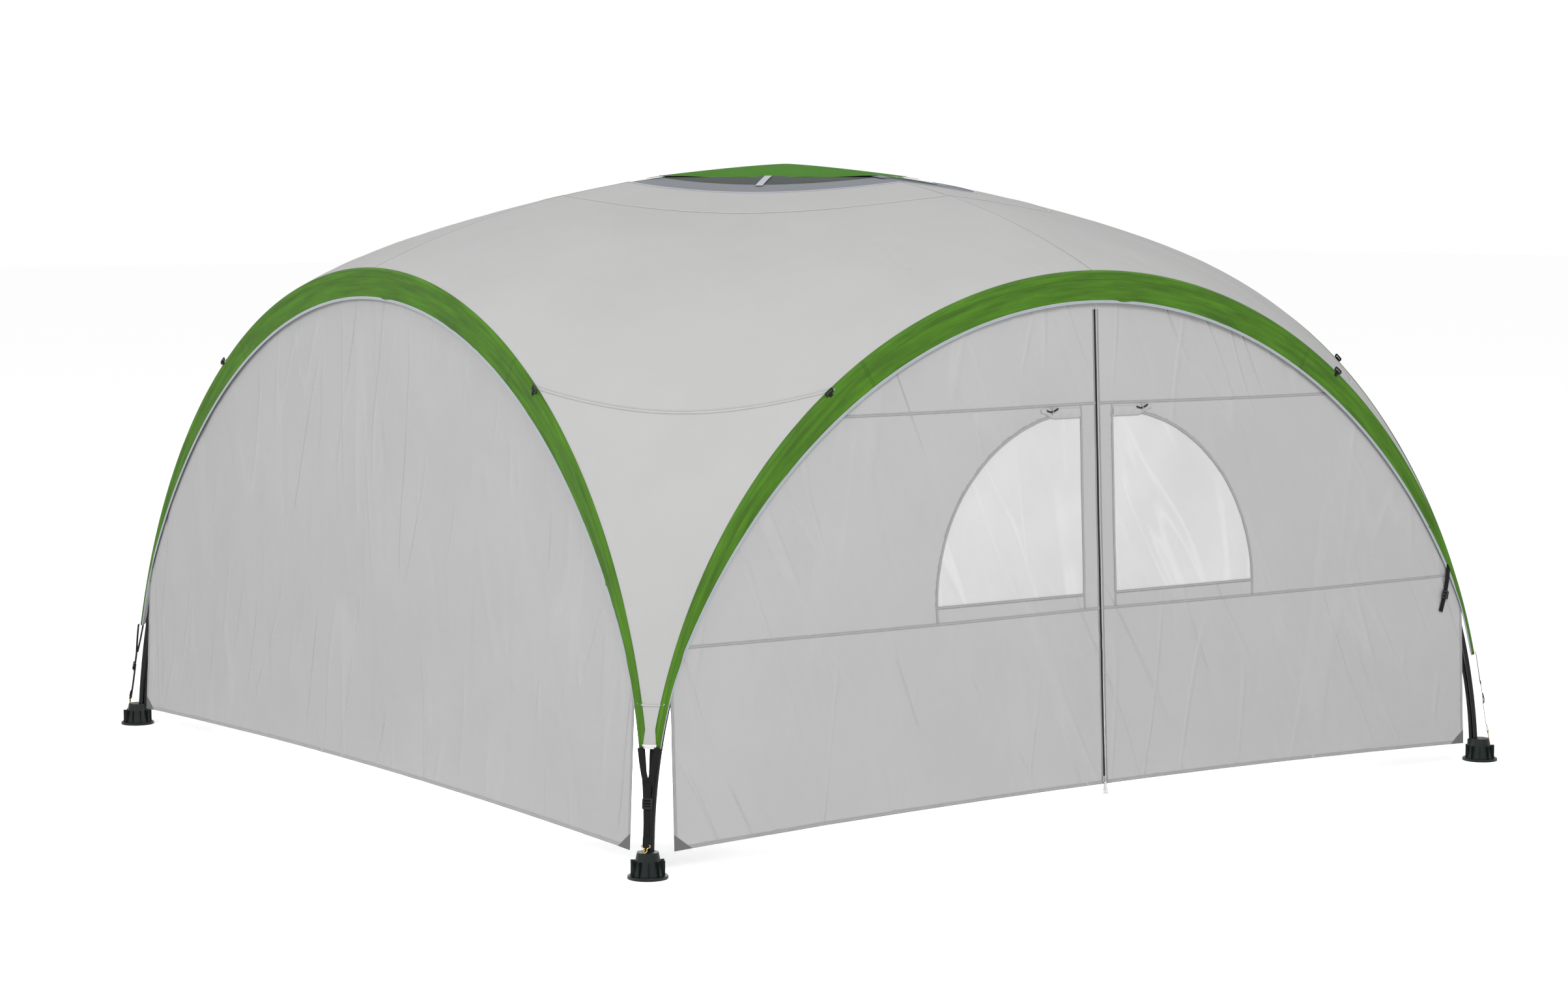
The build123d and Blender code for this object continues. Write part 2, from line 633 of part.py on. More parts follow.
def window_blind(side):
    """The blind, rolled up over the window's head inside the wall, and its two ties."""
    middle = side * (WINDOW_IN + BLIND_LENGTH / 2 + 20)
    height = WINDOW_SILL + WINDOW_H + BLIND_R + 6
    roll_plane = WALL_PLANE.offset(-FABRIC - BLIND_R - 0.5)
    with BuildPart() as blind:
        with BuildSketch(
            Plane(
                origin=roll_plane.from_local_coords((middle, height, 0)),
                x_dir=roll_plane.y_dir,
                z_dir=(1, 0, 0),
            )
        ):
            Circle(BLIND_R)
        extrude(amount=BLIND_LENGTH / 2, both=True)
        fillet(blind.edges(), 5)
    return blind.part


for side, name in ((-1, "left"), (1, "right")):
    save(door_leaf(side), f"door_leaf_{name}")
    save(window_film(side), f"window_{name}")
    save(window_blind(side), f"blind_{name}")

# ---- zip --------------------------------------------------------------------------------------
zip_bottom = hem_height(0) + 1
with BuildPart() as zip_chain:
    with BuildSketch(WALL_PLANE):
        with Locations((0, (zip_bottom + ZIP_TOP) / 2)):
            Rectangle(COIL_W, ZIP_TOP - zip_bottom)
    extrude(amount=COIL_T / 2)
save(zip_chain.part, "zip_chain")

slider_low = zip_bottom + 4
slider_face = WALL_PLANE.offset(COIL_T / 2 + 0.3)
with BuildPart() as slider:
    with BuildSketch(slider_face):
        with Locations((0, slider_low + SLIDER_H / 2)):
            RectangleRounded(SLIDER_W, SLIDER_H, 4)
    extrude(amount=2)
    with BuildSketch(slider_face.offset(2)):
        with Locations((0, slider_low + SLIDER_H / 2)):
            Rectangle(4, 12)
    extrude(amount=2.5)
save(slider.part, "zip_slider")

pull_hinge = slider_low + 6
with BuildPart() as pulls:
    for lean in (-9, 9):
        with BuildSketch(slider_face.offset(2.3 if lean < 0 else 4.9)):
            with Locations(Location((lean * 0.45, pull_hinge - PULL_L / 2 - 4), lean)):
                Trapezoid(13, PULL_L, 84)
                with Locations((0, -PULL_L / 2 + 7)):
                    Circle(2.4, mode=Mode.SUBTRACT)
        extrude(amount=1.8)
save(pulls.part, "zip_pulls")


# ---- tapes and corner patches -----------------------------------------------------------------
def hem_tape(x0, x1):
    """The tape along the hem between x0 and x1, on the wall's outer face."""
    stations = [x0 + (x1 - x0) * i / 6 for i in range(7)]
    with BuildPart() as tape:
        with BuildSketch(WALL_PLANE):
            with BuildLine():
                low = Spline(*[(x, hem_height(x)) for x in stations])
                high = Spline(*[(x, hem_height(x) + HEM) for x in stations])
                Line(low @ 0, high @ 0)
                Line(low @ 1, high @ 1)
            make_face()
        extrude(amount=TRIM / 2)
    return tape.part


inset = PATCH_W + 2
save(hem_tape(inset - WALL_HALF, WALL_HALF - inset).rotate(Axis.Z, -90), "side_hem")
fixed_hems = [
    hem_tape(inset - WALL_HALF, -LEAF_HINGE - SLIT),
    hem_tape(LEAF_HINGE + SLIT, WALL_HALF - inset),
]
save(Compound(children=[hem.solids()[0] for hem in fixed_hems]), "door_wall_hems")
save(hem_tape(SLIT - LEAF_HINGE, -COIL_W / 2 - 1), "leaf_hem_left")
save(hem_tape(ZIP_X + SLIT, LEAF_HINGE - SLIT), "leaf_hem_right")

with BuildPart() as patch_pair:
    with BuildSketch(WALL_PLANE):
        for side in (-1, 1):
            with BuildLine():
                Polyline(
                    (side * WALL_HALF, WALL_CORNER),
                    (side * WALL_HALF, WALL_CORNER + PATCH_H),
                    (side * (WALL_HALF - PATCH_W), hem_height(WALL_HALF - PATCH_W)),
                    close=True,
                )
            make_face()
    extrude(amount=TRIM / 2)
for turn, name in ((0, "door_wall_patches"), (-90, "side_wall_patches")):
    save(Compound(children=patch_pair.part.rotate(Axis.Z, turn).solids()), name)

# ---- tie-down strap that hangs from the right end of the door wall's band ----------------------
tail_x, tail_y = arch_edge(TAIL_TURN, TAIL_DEPTH)
with BuildPart() as tail:
    with BuildSketch(ARCH_PLANE.offset(0.6)):
        with BuildLine():
            Polyline(
                (tail_x - 2, tail_y + 8),
                (tail_x + 18, tail_y),
                (tail_x - 2, tail_y - 105),
                (tail_x - 22, tail_y - 165),
                (tail_x - 42, tail_y - 158),
                (tail_x - 22, tail_y - 98),
                close=True,
            )
        make_face()
    extrude(amount=TRIM + 0.5)
save(tail.part, "spare_strap")
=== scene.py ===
import math

import bmesh
import bpy
import numpy as np
from mathutils import Matrix, Vector
from mathutils.geometry import delaunay_2d_cdt


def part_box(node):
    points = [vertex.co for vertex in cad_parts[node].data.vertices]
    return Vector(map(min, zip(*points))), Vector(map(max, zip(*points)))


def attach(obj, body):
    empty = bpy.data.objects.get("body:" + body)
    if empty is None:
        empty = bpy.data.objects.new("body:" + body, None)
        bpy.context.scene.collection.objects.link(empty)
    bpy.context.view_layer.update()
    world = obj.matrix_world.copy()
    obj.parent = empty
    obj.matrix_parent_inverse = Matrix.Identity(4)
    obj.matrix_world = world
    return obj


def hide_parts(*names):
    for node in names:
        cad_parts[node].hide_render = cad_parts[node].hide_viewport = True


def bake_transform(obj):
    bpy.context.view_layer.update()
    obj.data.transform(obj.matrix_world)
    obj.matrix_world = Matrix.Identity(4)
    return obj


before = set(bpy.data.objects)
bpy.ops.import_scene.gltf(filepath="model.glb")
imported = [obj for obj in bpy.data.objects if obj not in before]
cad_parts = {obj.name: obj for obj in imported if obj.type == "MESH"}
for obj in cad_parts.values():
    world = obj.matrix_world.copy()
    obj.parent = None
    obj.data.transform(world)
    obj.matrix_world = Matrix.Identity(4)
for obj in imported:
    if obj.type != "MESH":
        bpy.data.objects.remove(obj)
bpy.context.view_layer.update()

# ---- driving dimensions, in metres: origin on the ground under the crown, +Z up -----------------
HALF_SPAN = 1.825
ARCH_TOP = 1.800
ARCH_LEAN = 0.070
ROOF_TOP = 2.150
ROOF_WAIST = 0.650
SEAM_RADIUS = 0.970
VENT_RADIUS = 0.700
MESH_RADIUS = 0.560
HUB_RADIUS = 0.052
LOWER_SEAM = 1.450
TIP_HEIGHT = 0.390
TIP_PATCH_TOP = 0.520
CAP_HALF = 0.560
CAP_TOP = 2.170
CAP_EDGE = 2.124
VALANCE_DEPTH = 0.100
VALANCE_END = math.radians(77.4)
VALANCE_TAPER = math.radians(75.5)
VALANCE_POWER = 3  # how late the band narrows on its way down the arch
NARROW_BAND = 0.008  # its fabric's depth at the bottom
BINDING = 0.010
WALL_FOOT = 1.822
WALL_LEAN = 0.044
WALL_HALF = 1.721
WALL_CORNER = 0.071
WALL_MIDDLE = 0.100
WALL_TOP = (1.812, 1.786)  # half axes of a wall's arched top
HEADER = (1.788, 1.713)  # half axes of the door leaves' top edge
LEAF_HINGE = 0.920
LEAF_FOLD = 0.030  # distance each side of the fold line; swinging works out points there but does not use them
PART_X = 0.008  # the leaves part here
HALF_SLIT = 0.0008
ZIP_TOP = 1.680
WINDOW_IN = 0.068
WINDOW_SILL = 0.737
WINDOW_W = 0.622
WINDOW_H = 0.608
SEAM_LOW = 0.688
SEAM_HIGH = 1.370
PATCH = (0.065, 0.050)
STRAP_TOP_R = 2.545
STRAP_FOOT_R = 2.592
STRAP_HOOK_Z = 0.098
WEBBING = 0.020
CLOTH = 0.0009  # thickness of the cloth as it shows
WEAVE_PITCH = 0.0011
SLEEVE_DEPTH = 0.022  # the band's sleeve is sewn this far below the arch's edge
BAND_SEAM = 1.02  # cross seams of the band, along it from the top
FLAP_SPAN = 0.172  # reach of the flap over a window's head
ZIP_PITCH = 0.0024
GUY_X = 1.100
CAMERA_PLACE = (-7.2425, -10.1081, 2.0558)
CAMERA_TURN = (0.6210, -0.0920)  # to the right of +Y, and up, in radians
CAMERA_LENS = 76.38

CORNERS = ["front_left", "front_right", "back_right", "back_left"]
SIDES = ["front", "right", "back", "left"]
LEFT = 3  # quarter turns that bring the front to the left
SHELTER = "shelter"


# ---- places -------------------------------------------------------------------------------------
def turned(points, quarter):
    """Points turned about the centre by that many quarter turns."""
    c, s = [(1, 0), (0, 1), (-1, 0), (0, -1)][quarter % 4]
    out = np.array(points, float)
    x, y = out[..., 0].copy(), out[..., 1].copy()
    out[..., 0] = c * x - s * y
    out[..., 1] = s * x + c * y
    return out


def roof_points(west, south):
    """The roof over the front left corner: west and south run from 0 at the crown to 1 at an arch."""
    west, south = np.asarray(west, float), np.asarray(south, float)
    x = west * (HALF_SPAN - ARCH_LEAN * west * np.sqrt(np.clip(1 - south**2, 0, 1)))
    y = south * (HALF_SPAN - ARCH_LEAN * south * np.sqrt(np.clip(1 - west**2, 0, 1)))
    droop = 1 - (ARCH_TOP / ROOF_TOP) ** 2
    square = 1 - droop * (west**2 + south**2) - (1 - 2 * droop) * (west * south) ** 2
    waist = ROOF_WAIST * west * south * ((1 - west**2) * (1 - south**2)) ** 2
    z = ROOF_TOP * np.sqrt(np.clip(square, 0, 1)) - waist
    return np.stack([-x, -y, z], axis=-1)


def quarter_ring(radius, count):
    """West and south round a quarter circle of the roof, from the front axis to the left one."""
    reach = radius / (HALF_SPAN - ARCH_LEAN * radius / HALF_SPAN)
    turns = np.linspace(0, math.pi / 2, count + 1)
    return np.stack([reach * np.sin(turns), reach * np.cos(turns)], axis=-1)


def level_line(height, count):
    """West and south along one height, from the front arch across to the left arch."""
    up = height / ARCH_TOP
    turns = np.linspace(0, math.pi / 2, count + 1)
    west = np.sqrt(1 - (up * np.cos(turns)) ** 2)
    south = np.sqrt(1 - (up * np.sin(turns)) ** 2)
    return np.stack([west, south], axis=-1)


def between(inner, outer, steps):
    """Rows of west and south on straight lines from one border to another."""
    share = np.linspace(0, 1, steps + 1)[:, None, None]
    return inner[None] * (1 - share) + outer[None] * share


def on_plane(x, up, out, foot, lean):
    """Points on a plane that leans in at the front: x along it, up it and out of it."""
    x, up, out = np.broadcast_arrays(x, up, out)
    size = math.hypot(1, lean)
    return np.stack([x, (up * lean - out) / size - foot, (up + out * lean) / size], axis=-1)


def on_wall(x, up, out=0.0):
    """A point of the front wall's plane."""
    return on_plane(x, up, out, WALL_FOOT, WALL_LEAN)


def on_arch(x, up, out=0.0):
    """A point of the front arch's plane."""
    return on_plane(x, up, out, HALF_SPAN, ARCH_LEAN / ARCH_TOP)


def draped(x, up, relief, out=0.0):
    """Points over a wall's creased cloth, and out from it."""
    return on_wall(x, up, relief(x, up) + out)


WALL_OUT = on_wall(0.0, 0.0, 1.0) - on_wall(0.0, 0.0, 0.0)
ARCH_OUT = on_arch(0.0, 0.0, 1.0) - on_arch(0.0, 0.0, 0.0)


def arch_edge(turn, depth):
    """x and height of the arch's edge in its plane, moved in by depth. turn is 0 at the top."""
    nx, ny = np.sin(turn) / HALF_SPAN, np.cos(turn) / ARCH_TOP
    size = np.hypot(nx, ny)
    x = HALF_SPAN * np.sin(turn) - depth * nx / size
    return x, ARCH_TOP * np.cos(turn) - depth * ny / size


def fabric_depth(turn):
    """Depth of the green fabric, which ends at its binding and eases into a narrow strip low down."""
    tapered = VALANCE_DEPTH * np.clip(1 - (np.abs(turn) / VALANCE_TAPER) ** VALANCE_POWER, 0, 1) - BINDING
    return (tapered + NARROW_BAND) / 2 + np.hypot((tapered - NARROW_BAND) / 2, 0.002)


def arch_height(x, axes):
    """Height of an arch of those half axes at x."""
    return axes[1] * np.sqrt(np.clip(1 - (np.asarray(x) / axes[0]) ** 2, 0, 1))


def hem_height(x):
    """Height of a wall's hem, which rises towards the middle."""
    return WALL_CORNER + (WALL_MIDDLE - WALL_CORNER) * (1 - (np.asarray(x) / WALL_HALF) ** 2)


def smooth_step(value, low, high):
    share = np.clip((np.asarray(value) - low) / (high - low), 0, 1)
    return share * share * (3 - 2 * share)


# ---- creases ------------------------------------------------------------------------------------
def crease_field(places, seed, count, box, angle, spread, length, width, height):
    """Height of many soft creases over flat places. box is the area that their middles lie in."""
    rng = np.random.default_rng(seed)
    (x0, x1), (y0, y1) = box
    total = np.zeros(places.shape[:-1])
    for _ in range(count):
        cx, cy = rng.uniform(x0, x1), rng.uniform(y0, y1)
        a = angle + rng.normal(0, spread)
        half = rng.uniform(*length) / 2
        thick = rng.uniform(*width)
        tall = rng.uniform(*height) * rng.choice([-1, 1])
        bow = rng.uniform(-0.12, 0.12)
        dx, dy = places[..., 0] - cx, places[..., 1] - cy
        run = dx * math.cos(a) + dy * math.sin(a)
        off = dy * math.cos(a) - dx * math.sin(a) + bow * run**2 / half
        fade = np.clip(1 - (run / half) ** 2, 0, 1) ** 2
        total += tall * fade * np.exp(-((off / thick) ** 2))
    return total


def wall_relief(x, up, seed, slant):
    """How far a wall's cloth stands out of its plane. slant is the way most creases run."""
    places = np.stack(np.broadcast_arrays(x, up), axis=-1).astype(float)
    box = ((-1.75, 1.75), (0.05, 1.75))
    steep = crease_field(places, seed, 130, box, slant, 0.2, (0.25, 1.1), (0.007, 0.018), (0.0008, 0.0022))
    broad = crease_field(places, seed + 1, 26, box, slant, 0.25, (0.6, 1.8), (0.05, 0.16), (0.0010, 0.0028))
    low = ((-1.75, 1.75), (0.1, 0.75))
    slack = crease_field(
        places, seed + 2, 60, low, math.radians(125), 0.5, (0.1, 0.4), (0.008, 0.016), (0.0006, 0.0018)
    )
    return np.clip(steep + broad + slack, -0.004, 0.004)


def front_relief(x, up):
    return wall_relief(x, up, 101, math.radians(114))


def side_relief(x, up):
    return wall_relief(x, up, 201, math.radians(99))


# ---- meshes -------------------------------------------------------------------------------------
def added(name, data):
    """A new object in the scene."""
    obj = bpy.data.objects.new(name, data)
    bpy.context.scene.collection.objects.link(obj)
    return obj


def make_object(name, vertices, faces, material, uvs=None):
    """A smooth mesh object from lists, with its material."""
    mesh = bpy.data.meshes.new(name)
    mesh.from_pydata([tuple(v) for v in vertices], [], faces)
    if uvs is not None:
        index = np.zeros(len(mesh.loops), int)
        mesh.loops.foreach_get("vertex_index", index)
        flat = np.asarray(uvs, np.float32)[index]
        mesh.uv_layers.new(name="UVMap").data.foreach_set("uv", flat.ravel())
    mesh.materials.append(material)
    mesh.polygons.foreach_set("use_smooth", [True] * len(mesh.polygons))
    return added(name, mesh)


def apply_modifiers(obj):
    """Turns an object's modifiers into its mesh."""
    graph = bpy.context.evaluated_depsgraph_get()
    mesh = bpy.data.meshes.new_from_object(obj.evaluated_get(graph))
    old = obj.data
    obj.modifiers.clear()
    obj.data = mesh
    bpy.data.meshes.remove(old)
    return obj


def thicken(obj, thickness, offset=0.0, bevel=0.0, segments=2):
    """Gives a flat mesh its thickness, and rounds its edges where bevel is given."""
    solid = obj.modifiers.new("thickness", "SOLIDIFY")
    solid.thickness = thickness
    solid.offset = offset
    if bevel:
        edge = obj.modifiers.new("edges", "BEVEL")
        edge.width = bevel
        edge.segments = segments
        edge.limit_method = "ANGLE"
        edge.angle_limit = math.radians(50)
    return apply_modifiers(obj)


def grid_normals(points):
    """Unit normals of a grid of points."""
    n = np.cross(np.gradient(points, axis=1), np.gradient(points, axis=0))
    return n / np.maximum(np.linalg.norm(n, axis=-1, keepdims=True), 1e-12)


def grid_sheet(name, points, material, uvs=None, thickness=CLOTH):
    """A thin closed sheet from a grid of points."""
    rows, cols = points.shape[:2]
    corner = (np.arange(rows - 1)[:, None] * cols + np.arange(cols - 1)[None, :]).ravel()
    faces = np.stack([corner, corner + cols, corner + cols + 1, corner + 1], axis=-1).tolist()
    flat_uv = None if uvs is None else uvs.reshape(-1, 2)
    return thicken(make_object(name, points.reshape(-1, 3), faces, material, flat_uv), thickness)


def inside(places, loop):
    """Which places lie inside a closed outline."""
    found = np.zeros(len(places), bool)
    px, py = places[:, 0], places[:, 1]
    for (x0, y0), (x1, y1) in zip(loop, np.roll(loop, -1, axis=0)):
        if y0 == y1:
            continue
        crosses = (y0 > py) != (y1 > py)
        found ^= crosses & (px < (x1 - x0) * (py - y0) / (y1 - y0) + x0)
    return found


def filled(outline, holes=(), spacing=0.014):
    """Flat places and faces that fill an outline round its holes, with a lattice of points inside."""
    loops = [np.asarray(loop, float) for loop in (outline, *holes)]
    places, edges = [], []
    for loop in loops:
        start, count = len(places), len(loop)
        places.extend(loop.tolist())
        edges.extend((start + i, start + (i + 1) % count) for i in range(count))
    border = np.array(places)
    low, high = loops[0].min(0), loops[0].max(0)
    rows = np.arange(low[1] + spacing / 2, high[1], spacing * 0.87)
    lattice = []
    for i, row in enumerate(rows):
        start = low[0] + spacing * (0.25 if i % 2 else 0.75)
        lattice.append(np.stack(np.broadcast_arrays(np.arange(start, high[0], spacing), row), axis=-1))
    lattice = np.concatenate(lattice)
    keep = inside(lattice, loops[0])
    for loop in loops[1:]:
        keep &= ~inside(lattice, loop)
    lattice = lattice[keep]
    gap = np.full(len(lattice), 1e9)
    for point in border:
        gap = np.minimum(gap, np.hypot(*(lattice - point).T))
    places.extend(lattice[gap > spacing * 0.45].tolist())
    found = delaunay_2d_cdt([Vector(p) for p in places], edges, [], 0, 1e-7)
    flat = np.array([tuple(v) for v in found[0]])
    faces = np.array(found[2])
    middles = flat[faces].mean(1)
    keep = inside(middles, loops[0])
    for loop in loops[1:]:
        keep &= ~inside(middles, loop)
    return flat, faces[keep].tolist()


def sides_of(path, lift):
    """Unit vectors across a path, square to it and to the way it faces."""
    across = np.cross(lift * np.ones((len(path), 1)), np.gradient(path, axis=0))
    return across / np.linalg.norm(across, axis=-1, keepdims=True)


def tube_faces(rows, count):
    """Faces round a tube made of rows of points, and over its two ends."""
    faces = []
    for i in range(rows - 1):
        for j in range(count):
            a, b = i * count + j, i * count + (j + 1) % count
            faces.append((a, b, b + count, a + count))
    return [*faces, tuple(range(count))[::-1], tuple(range((rows - 1) * count, rows * count))]


def ribbon(name, path, lift, material, width, thickness=CLOTH):
    """A flat strip with softened edges along a path. lift points out of its face."""
    path = np.asarray(path, float)
    lift = np.asarray(lift, float) * np.ones((len(path), 1))
    across = sides_of(path, lift)
    out = np.cross(np.gradient(path, axis=0), across)
    out /= np.linalg.norm(out, axis=-1, keepdims=True)
    out *= np.sign((out * lift).sum(-1, keepdims=True))
    widths = np.broadcast_to(np.asarray(width, float), (len(path),))
    profile = [(-0.5, 0.0), (-0.47, 0.8), (-0.38, 1.0), (0.38, 1.0)]
    profile += [(0.47, 0.8), (0.5, 0.0), (0.47, -0.2), (-0.47, -0.2)]
    lengths = np.concatenate([[0], np.cumsum(np.linalg.norm(np.diff(path, axis=0), axis=1))])
    vertices, uvs = [], []
    for i, point in enumerate(path):
        for sideways, up in profile:
            vertices.append(point + across[i] * sideways * widths[i] + out[i] * up * thickness)
            uvs.append((lengths[i], sideways * widths[i]))
    return outward(make_object(name, vertices, tube_faces(len(path), len(profile)), material, uvs))


def outward(obj):
    """Turns the faces of a closed mesh outward."""
    mesh = bmesh.new()
    mesh.from_mesh(obj.data)
    bmesh.ops.recalc_face_normals(mesh, faces=mesh.faces)
    mesh.to_mesh(obj.data)
    mesh.free()
    return obj


def rod(name, points, radius, material, sides=10):
    """A round wire or thread along points."""
    points = np.asarray(points, float)
    radii = np.broadcast_to(np.asarray(radius, float), (len(points),))
    along = np.gradient(points, axis=0)
    along /= np.linalg.norm(along, axis=-1, keepdims=True)
    side = np.cross(along[0], [0.31, 0.57, 0.76])
    vertices = []
    for i, point in enumerate(points):
        side = side - along[i] * (side @ along[i])
        side /= np.linalg.norm(side)
        other = np.cross(along[i], side)
        for k in range(sides):
            a = 2 * math.pi * k / sides
            vertices.append(point + (side * math.cos(a) + other * math.sin(a)) * radii[i])
    return outward(make_object(name, vertices, tube_faces(len(points), sides), material))


def smooth_path(points, count):
    """A smooth line through a few points."""
    points = np.asarray(points, float)
    ends = np.vstack([2 * points[0] - points[1], points, 2 * points[-1] - points[-2]])
    spots = np.linspace(0, len(points) - 1, count)
    out = []
    for spot in spots:
        i = min(int(spot), len(points) - 2)
        t = spot - i
        a, b, c, d = ends[i : i + 4]
        out.append(
            0.5 * (2 * b + (c - a) * t + (2 * a - 5 * b + 4 * c - d) * t**2 + (3 * b - a - 3 * c + d) * t**3)
        )
    return np.array(out)


def join(name, objects):
    """One object from several, with all their materials."""
    merged = bmesh.new()
    materials = []
    for obj in objects:
        start = len(merged.faces)
        merged.from_mesh(obj.data)
        merged.faces.ensure_lookup_table()
        slots = []
        for material in obj.data.materials:
            if material not in materials:
                materials.append(material)
            slots.append(materials.index(material))
        for face in merged.faces[start:]:
            face.material_index = slots[face.material_index]
    mesh = bpy.data.meshes.new(name)
    merged.to_mesh(mesh)
    merged.free()
    for material in materials:
        mesh.materials.append(material)
    for obj in objects:
        old = obj.data
        bpy.data.objects.remove(obj)
        bpy.data.meshes.remove(old)
    return added(name, mesh)


def place(obj, nodes=(), body=SHELTER):
    """Lets a piece ride on a body and stand for the CAD nodes that it replaces."""
    if body is not None:
        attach(obj, body)
    if nodes:
        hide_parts(*nodes)
    return obj


# ---- materials ----------------------------------------------------------------------------------
class Nodes:
    """A principled material and short calls that add nodes to it."""

    def __init__(self, name, roughness, metallic=0.0, specular=0.5):
        self.material = bpy.data.materials.new(name)
        self.material.use_nodes = True
        self.tree = self.material.node_tree
        self.shader = self.tree.nodes["Principled BSDF"]
        self.shader.inputs["Roughness"].default_value = roughness
        self.shader.inputs["Metallic"].default_value = metallic
        self.shader.inputs["Specular IOR Level"].default_value = specular
        coordinates = self.tree.nodes.new("ShaderNodeTexCoord")
        self.place = coordinates.outputs["Object"]
        self.uv = coordinates.outputs["UV"]

    def link(self, source, socket):
        self.tree.links.new(source, socket)

    def feed(self, socket, value):
        """Links or sets a socket, as the value is a socket or a number."""
        if isinstance(value, bpy.types.NodeSocket):
            self.link(value, socket)
        elif isinstance(value, tuple) and len(value) == 3 and len(socket.default_value) == 4:
            socket.default_value = (*value, 1.0)
        else:
            socket.default_value = value

    def math(self, operation, *values):
        node = self.tree.nodes.new("ShaderNodeMath")
        node.operation = operation
        for socket, value in zip(node.inputs, values):
            self.feed(socket, value)
        return node.outputs[0]

    def wave(self, value, pitch):
        return self.math("SINE", self.math("MULTIPLY", value, 2 * math.pi / pitch))

    def away(self, value, middle):
        return self.math("ABSOLUTE", self.math("SUBTRACT", value, middle))

    def line(self, value, middle, half):
        """1 within half of the middle, and 0 elsewhere."""
        return self.math("LESS_THAN", self.away(value, middle), half)

    def dashes(self, length, pitch, gap):
        """0 over the gap that starts each stitch, and 1 along the rest of it."""
        return self.math("GREATER_THAN", self.math("FRACT", self.math("MULTIPLY", length, 1 / pitch)), gap)

    def split(self, vector):
        node = self.tree.nodes.new("ShaderNodeSeparateXYZ")
        self.link(vector, node.inputs[0])
        return node.outputs

    def mapped(self, vector, scale=(1, 1, 1), turn=(0, 0, 0), move=(0, 0, 0)):
        node = self.tree.nodes.new("ShaderNodeMapping")
        self.link(vector, node.inputs["Vector"])
        node.inputs["Scale"].default_value = scale
        node.inputs["Rotation"].default_value = turn
        node.inputs["Location"].default_value = move
        return node.outputs[0]

    def noise(self, scale, detail=2.0, roughness=0.5, vector=None, output="Fac"):
        node = self.tree.nodes.new("ShaderNodeTexNoise")
        node.inputs["Scale"].default_value = scale
        node.inputs["Detail"].default_value = detail
        node.inputs["Roughness"].default_value = roughness
        self.link(vector or self.place, node.inputs["Vector"])
        return node.outputs[output]

    def span(self, value, low, high, to_low=0.0, to_high=1.0):
        node = self.tree.nodes.new("ShaderNodeMapRange")
        for key, number in (
            ("Value", value), ("From Min", low), ("From Max", high), ("To Min", to_low), ("To Max", to_high)
        ):
            self.feed(node.inputs[key], number)
        return node.outputs["Result"]

    def mix(self, share, one, two):
        node = self.tree.nodes.new("ShaderNodeMix")
        node.data_type = "RGBA"
        self.feed(node.inputs["Factor"], share)
        self.feed(node.inputs[6], one)
        self.feed(node.inputs[7], two)
        return node.outputs[2]

    def bump(self, height, distance, strength=1.0, normal=None):
        node = self.tree.nodes.new("ShaderNodeBump")
        node.inputs["Distance"].default_value = distance
        node.inputs["Strength"].default_value = strength
        self.link(height, node.inputs["Height"])
        if normal is not None:
            self.link(normal, node.inputs["Normal"])
        return node.outputs["Normal"]

    def finish(self, colour, roughness=None, normal=None):
        self.link(colour, self.shader.inputs["Base Color"])
        if roughness is not None:
            self.link(roughness, self.shader.inputs["Roughness"])
        if normal is not None:
            self.link(normal, self.shader.inputs["Normal"])
        return self.material


def scaled(colour, share):
    return tuple(min(c * share, 1.0) for c in colour)


def weave(n):
    """Normals of a plain weave's over and under, from waves along all three axes."""
    x, y, z = [n.wave(part, WEAVE_PITCH) for part in n.split(n.place)]
    return n.bump(n.math("ADD", n.math("MULTIPLY", x, z), n.math("MULTIPLY", y, z)), 0.00012, 0.5)


def straight_creases(n, turn, scale, keep):
    """Long thin folds along one slant: where stretched noise crosses its middle, and only some of them."""
    slanted = n.mapped(n.place, (1, 1, 1), turn)
    long_way = n.mapped(slanted, (1.0, 1.0, 0.13))
    line = n.span(n.away(n.noise(scale, 1.5, 0.45, long_way), 0.5), 0.0, 0.020, 1.0, 0.0)
    some = n.span(n.noise(2.1, 2.0, 0.5, slanted), keep, keep + 0.1)
    return n.math("MULTIPLY", line, some)


def cloth_material(
    name, colour, roughness=0.78, mottle=0.95, creased=0.0030, keep=0.44, crinkle=0.0010,
    turn=(0.0, 0.42, 0.0), crease_highlight=0.10,
):
    """Coated woven polyester: faint weave, soft mottling, straight packing creases and a fine crinkle. The
    crease lines are also painted lighter: a painted highlight where the folds catch the light.
    """
    n = Nodes(name, roughness, specular=0.2)
    main = straight_creases(n, turn, 5.0, keep)
    steep = straight_creases(n, tuple(-0.4 * t for t in turn), 3.2, keep + 0.02)
    creases = n.math("MAXIMUM", main, steep)
    patchy = n.span(n.noise(2.3, 4.0, 0.6), 0.3, 0.7)
    fibre = n.span(n.noise(900.0, 2.0), 0.2, 0.8)
    tone = n.mix(patchy, scaled(colour, mottle), colour)
    tone = n.mix(n.math("MULTIPLY", fibre, 0.10), tone, scaled(colour, 0.8))
    # painted highlight: the crease lines are painted lighter, where the folds would catch the light
    tone = n.mix(n.math("MULTIPLY", creases, crease_highlight), tone, scaled(colour, 1.3))
    normal = n.bump(n.noise(11.0, 5.0, 0.55, n.mapped(n.place, (1, 1, 0.4))), crinkle, 1.0, weave(n))
    normal = n.bump(creases, creased, 1.0, normal)
    rough = n.span(n.noise(6.0, 3.0), 0.3, 0.7, roughness - 0.05, roughness + 0.05)
    return n.finish(tone, rough, normal)


